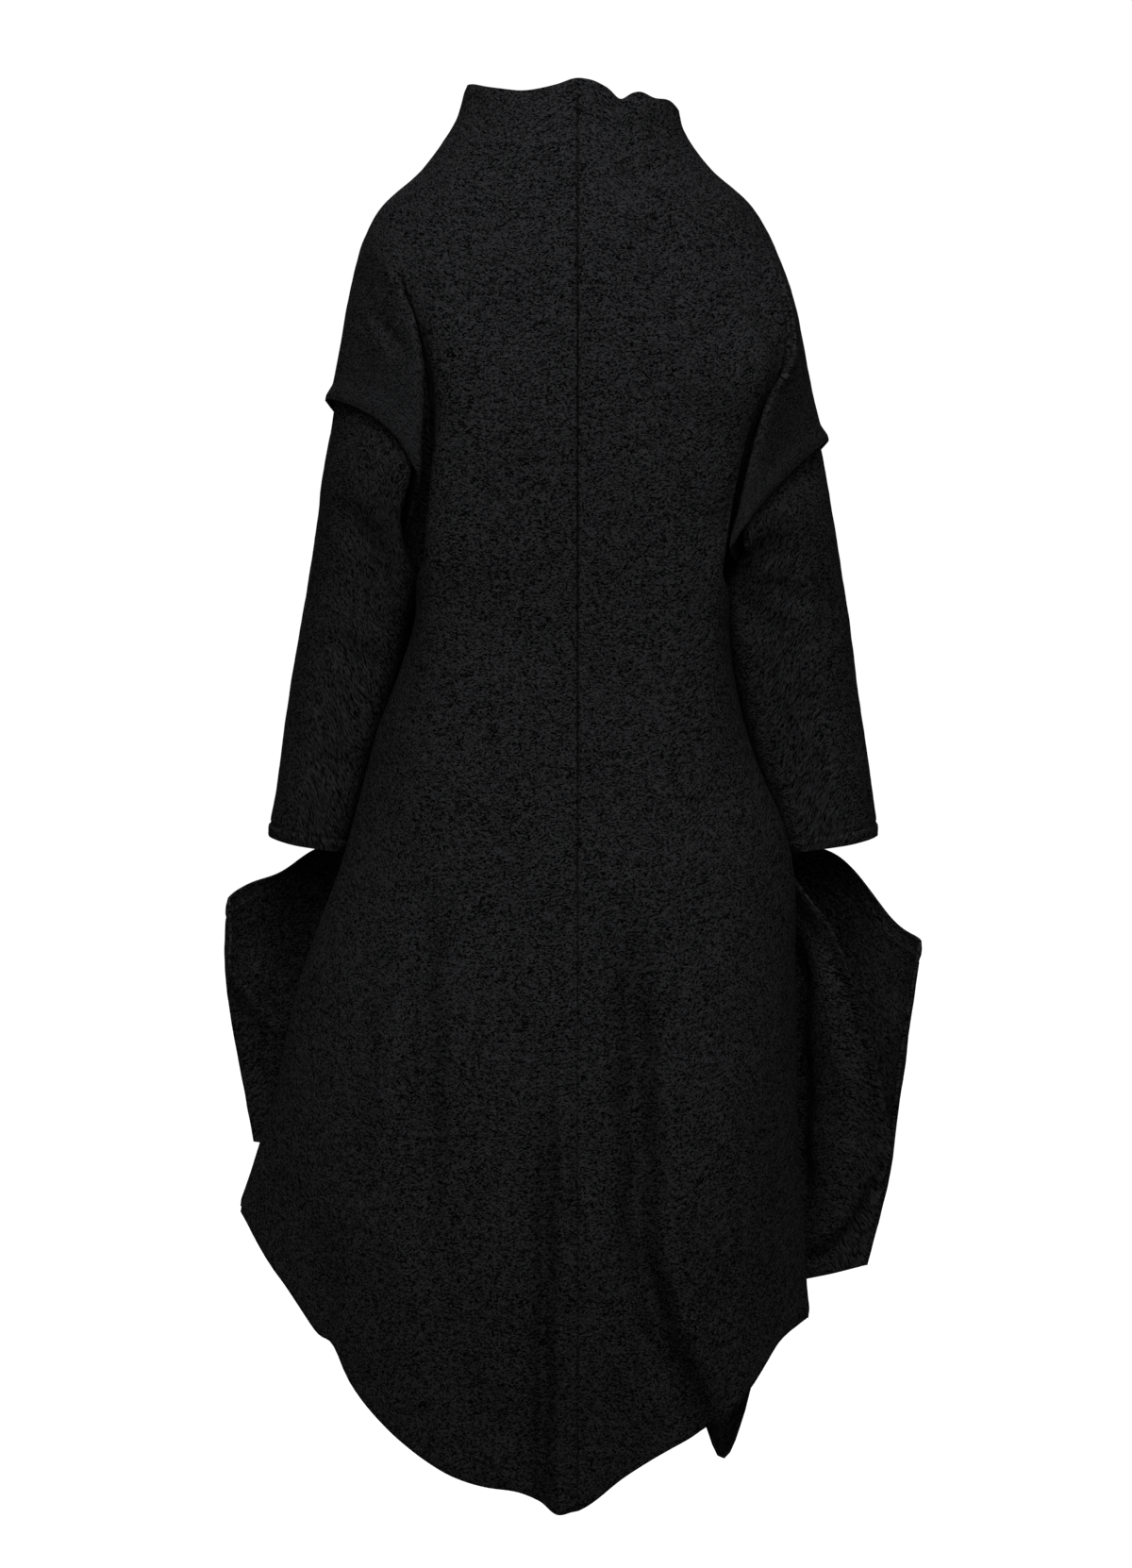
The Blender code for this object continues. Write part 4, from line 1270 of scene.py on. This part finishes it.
def point_at(place, length, line):
    """Point at a place along a line, from the length up to each of its points."""
    return [np.interp(place, length, line[:, axis]) for axis in range(3)]


def line_at(outside, distance, from_end):
    """Points at a distance from the first or the last row, one for each column."""
    rows = outside[::-1] if from_end else outside
    down = measured(rows, 0)
    columns = range(rows.shape[1])
    return np.array([point_at(distance, down[:, column], rows[:, column]) for column in columns])


def add_stitches(mesh, line):
    """Capsules of thread along a line, an even pitch apart."""
    length = path_length(line)
    for place in np.arange(STITCH_PITCH, length[-1] - STITCH_PITCH, STITCH_PITCH):
        start = Vector(point_at(place - STITCH_LENGTH / 2, length, line))
        end = Vector(point_at(place + STITCH_LENGTH / 2, length, line))
        turn = (end - start).to_track_quat("Z", "Y").to_matrix().to_4x4()
        size = Matrix.Diagonal((THREAD_WIDTH, THREAD_WIDTH, STITCH_LENGTH, 1.0))
        matrix = Matrix.Translation((start + end) / 2) @ turn @ size
        bmesh.ops.create_uvsphere(mesh, u_segments=6, v_segments=5, radius=0.5, matrix=matrix)


def make_stitches(name, lines):
    mesh = bmesh.new()
    layer = mesh.loops.layers.uv.new("cut")
    for line in lines:
        add_stitches(mesh, line)
    for face in mesh.faces:
        for loop in face.loops:
            loop[layer].uv = (loop.vert.co.x + loop.vert.co.y, loop.vert.co.z)
    return add_object(name, mesh, thread)


stitching = {}
for side in SIGN:
    cuff_line = line_at(sleeves[side][1], CUFF_HEM, from_end=True)
    stitching["sleeve", side] = make_stitches(f"stitches_sleeve_{side}", [cuff_line])
    mouth_lines = [line_at(face, POCKET_HEM, from_end=False) for face in pockets[side][1:]]
    stitching["pocket", side] = make_stitches(f"stitches_pocket_{side}", mouth_lines)

# %% [markdown]
# ## What each piece stands for
# Every piece of cloth rides on the one body of the coat and hides the plain solid that it stands for.
# Its stitching goes with it. The table lists the size that each piece was cut to.

CUT_SIZES = table(
    "piece side width length area",
    ("back", "left", 0.40, 1.24, 0.325),
    ("back", "right", 0.33, 1.24, 0.305),
    ("front", "left", 0.44, 1.20, 0.346),
    ("front", "right", 0.40, 1.20, 0.323),
    ("sleeve", "left", 0.37, 0.42, 0.148),
    ("sleeve", "right", 0.37, 0.42, 0.139),
    ("pocket", "left", 0.30, 0.26, 0.046),
    ("pocket", "right", 0.30, 0.37, 0.096),
)
made = {
    "back": backs,
    "front": fronts,
    "sleeve": {side: pair[0] for side, pair in sleeves.items()},
    "pocket": {side: pair[0] for side, pair in pockets.items()},
}
for cut in CUT_SIZES:
    kind, side = cut["piece"], cut["side"]
    cloth = made[kind][side]
    sewn_on = [stitching[kind, side]] if (kind, side) in stitching else []
    for piece in [cloth, *sewn_on]:
        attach(piece, "root")
    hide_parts(f"{kind}_{side}")
print("pieces declared:", len(CUT_SIZES) + len(stitching))

# %% [markdown]
# ## The studio
# The coat was photographed level, from behind, against white. The camera stands 6 m away so that it
# sees the same outline, and one photo pixel covers 0.82 mm of the coat. Black wool shows its folds only
# in directed light, so the surround that the camera sees is white, but it lights the coat weakly.
# Two softboxes from above do the rest. They aim at the neck, so their light falls off towards the hem. A
# third one keeps the hidden front readable.

# %% Camera
PHOTO_WIDTH, PHOTO_HEIGHT = 1200, 1662
ORIGIN_PIXEL = (612, 205)  # where the coat's origin lies in the photo
PIXEL = 0.00082  # metres of the coat for one pixel
CAMERA_DISTANCE = 6.0

camera_data = bpy.data.cameras.new("camera")
camera_data.sensor_fit = "VERTICAL"
camera_data.sensor_height = 24
camera_data.lens = camera_data.sensor_height * CAMERA_DISTANCE / (PHOTO_HEIGHT * PIXEL)
camera = new_object("camera", camera_data)
camera.location = (
    (PHOTO_WIDTH / 2 - ORIGIN_PIXEL[0]) * PIXEL,
    -CAMERA_DISTANCE,
    (ORIGIN_PIXEL[1] - PHOTO_HEIGHT / 2) * PIXEL,
)
camera.rotation_euler = (math.pi / 2, 0, 0)
bpy.context.scene.camera = camera
print("camera lens in mm:", round(camera_data.lens, 1))

# %% Floor and light
FLOOR_HEIGHT = -1.42
FLOOR_SIZE = 60.0
FLOOR_LOOKS = {
    "Base Color": (0.4, 0.4, 0.4, 1.0),
    "Roughness": 1.0,
    "Specular IOR Level": 0.0,
    "Emission Color": (1.0, 1.0, 1.0, 1.0),
}
SURROUND = 0.28  # how strongly the white surround lights the coat
SEEN_WHITE = 1.04  # just over white


def seen_white(tree, strength):
    """A socket that is white where the camera looks, and has the strength elsewhere."""
    path = new_node(tree, "ShaderNodeLightPath", (-500, -200))
    return map_range(tree, path.outputs["Is Camera Ray"], (-250, -200), 0.0, 1.0, strength, SEEN_WHITE)


def make_floor():
    mesh = bmesh.new()
    bmesh.ops.create_grid(mesh, x_segments=1, y_segments=1, size=FLOOR_SIZE / 2)
    bmesh.ops.translate(mesh, verts=mesh.verts, vec=(0, 0, FLOOR_HEIGHT))
    material, tree, shader = new_material("pale_floor", FLOOR_LOOKS)
    tree.links.new(seen_white(tree, 0.0), shader.inputs["Emission Strength"])
    add_object("floor", mesh, material)


SPREAD = math.radians(100)  # how wide the softboxes throw their light


def add_softbox(name, location, target, size, power):
    data = bpy.data.lights.new(name, "AREA")
    data.shape = "DISK"
    data.size = size
    data.energy = power
    data.spread = SPREAD
    light = new_object(name, data)
    light.location = location
    light.rotation_euler = (Vector(target) - Vector(location)).to_track_quat("-Z", "Y").to_euler()


make_floor()
add_softbox("high_softbox", (0.1, -1.5, 1.6), (0.0, -0.1, 0.10), 1.4, 12)
add_softbox("low_softbox", (0.1, -2.2, 0.9), (0.0, -0.1, 0.10), 2.4, 13.5)
add_softbox("front_softbox", (-0.5, 2.2, 1.4), (0.0, 0.1, -0.4), 1.4, 30)
world = bpy.data.worlds.new("white surround")
world.use_nodes = True
background = world.node_tree.nodes["Background"]
background.inputs["Color"].default_value = (1.0, 1.0, 1.0, 1.0)
world.node_tree.links.new(seen_white(world.node_tree, SURROUND), background.inputs["Strength"])
bpy.context.scene.world = world
bpy.context.scene.view_settings.view_transform = "Standard"
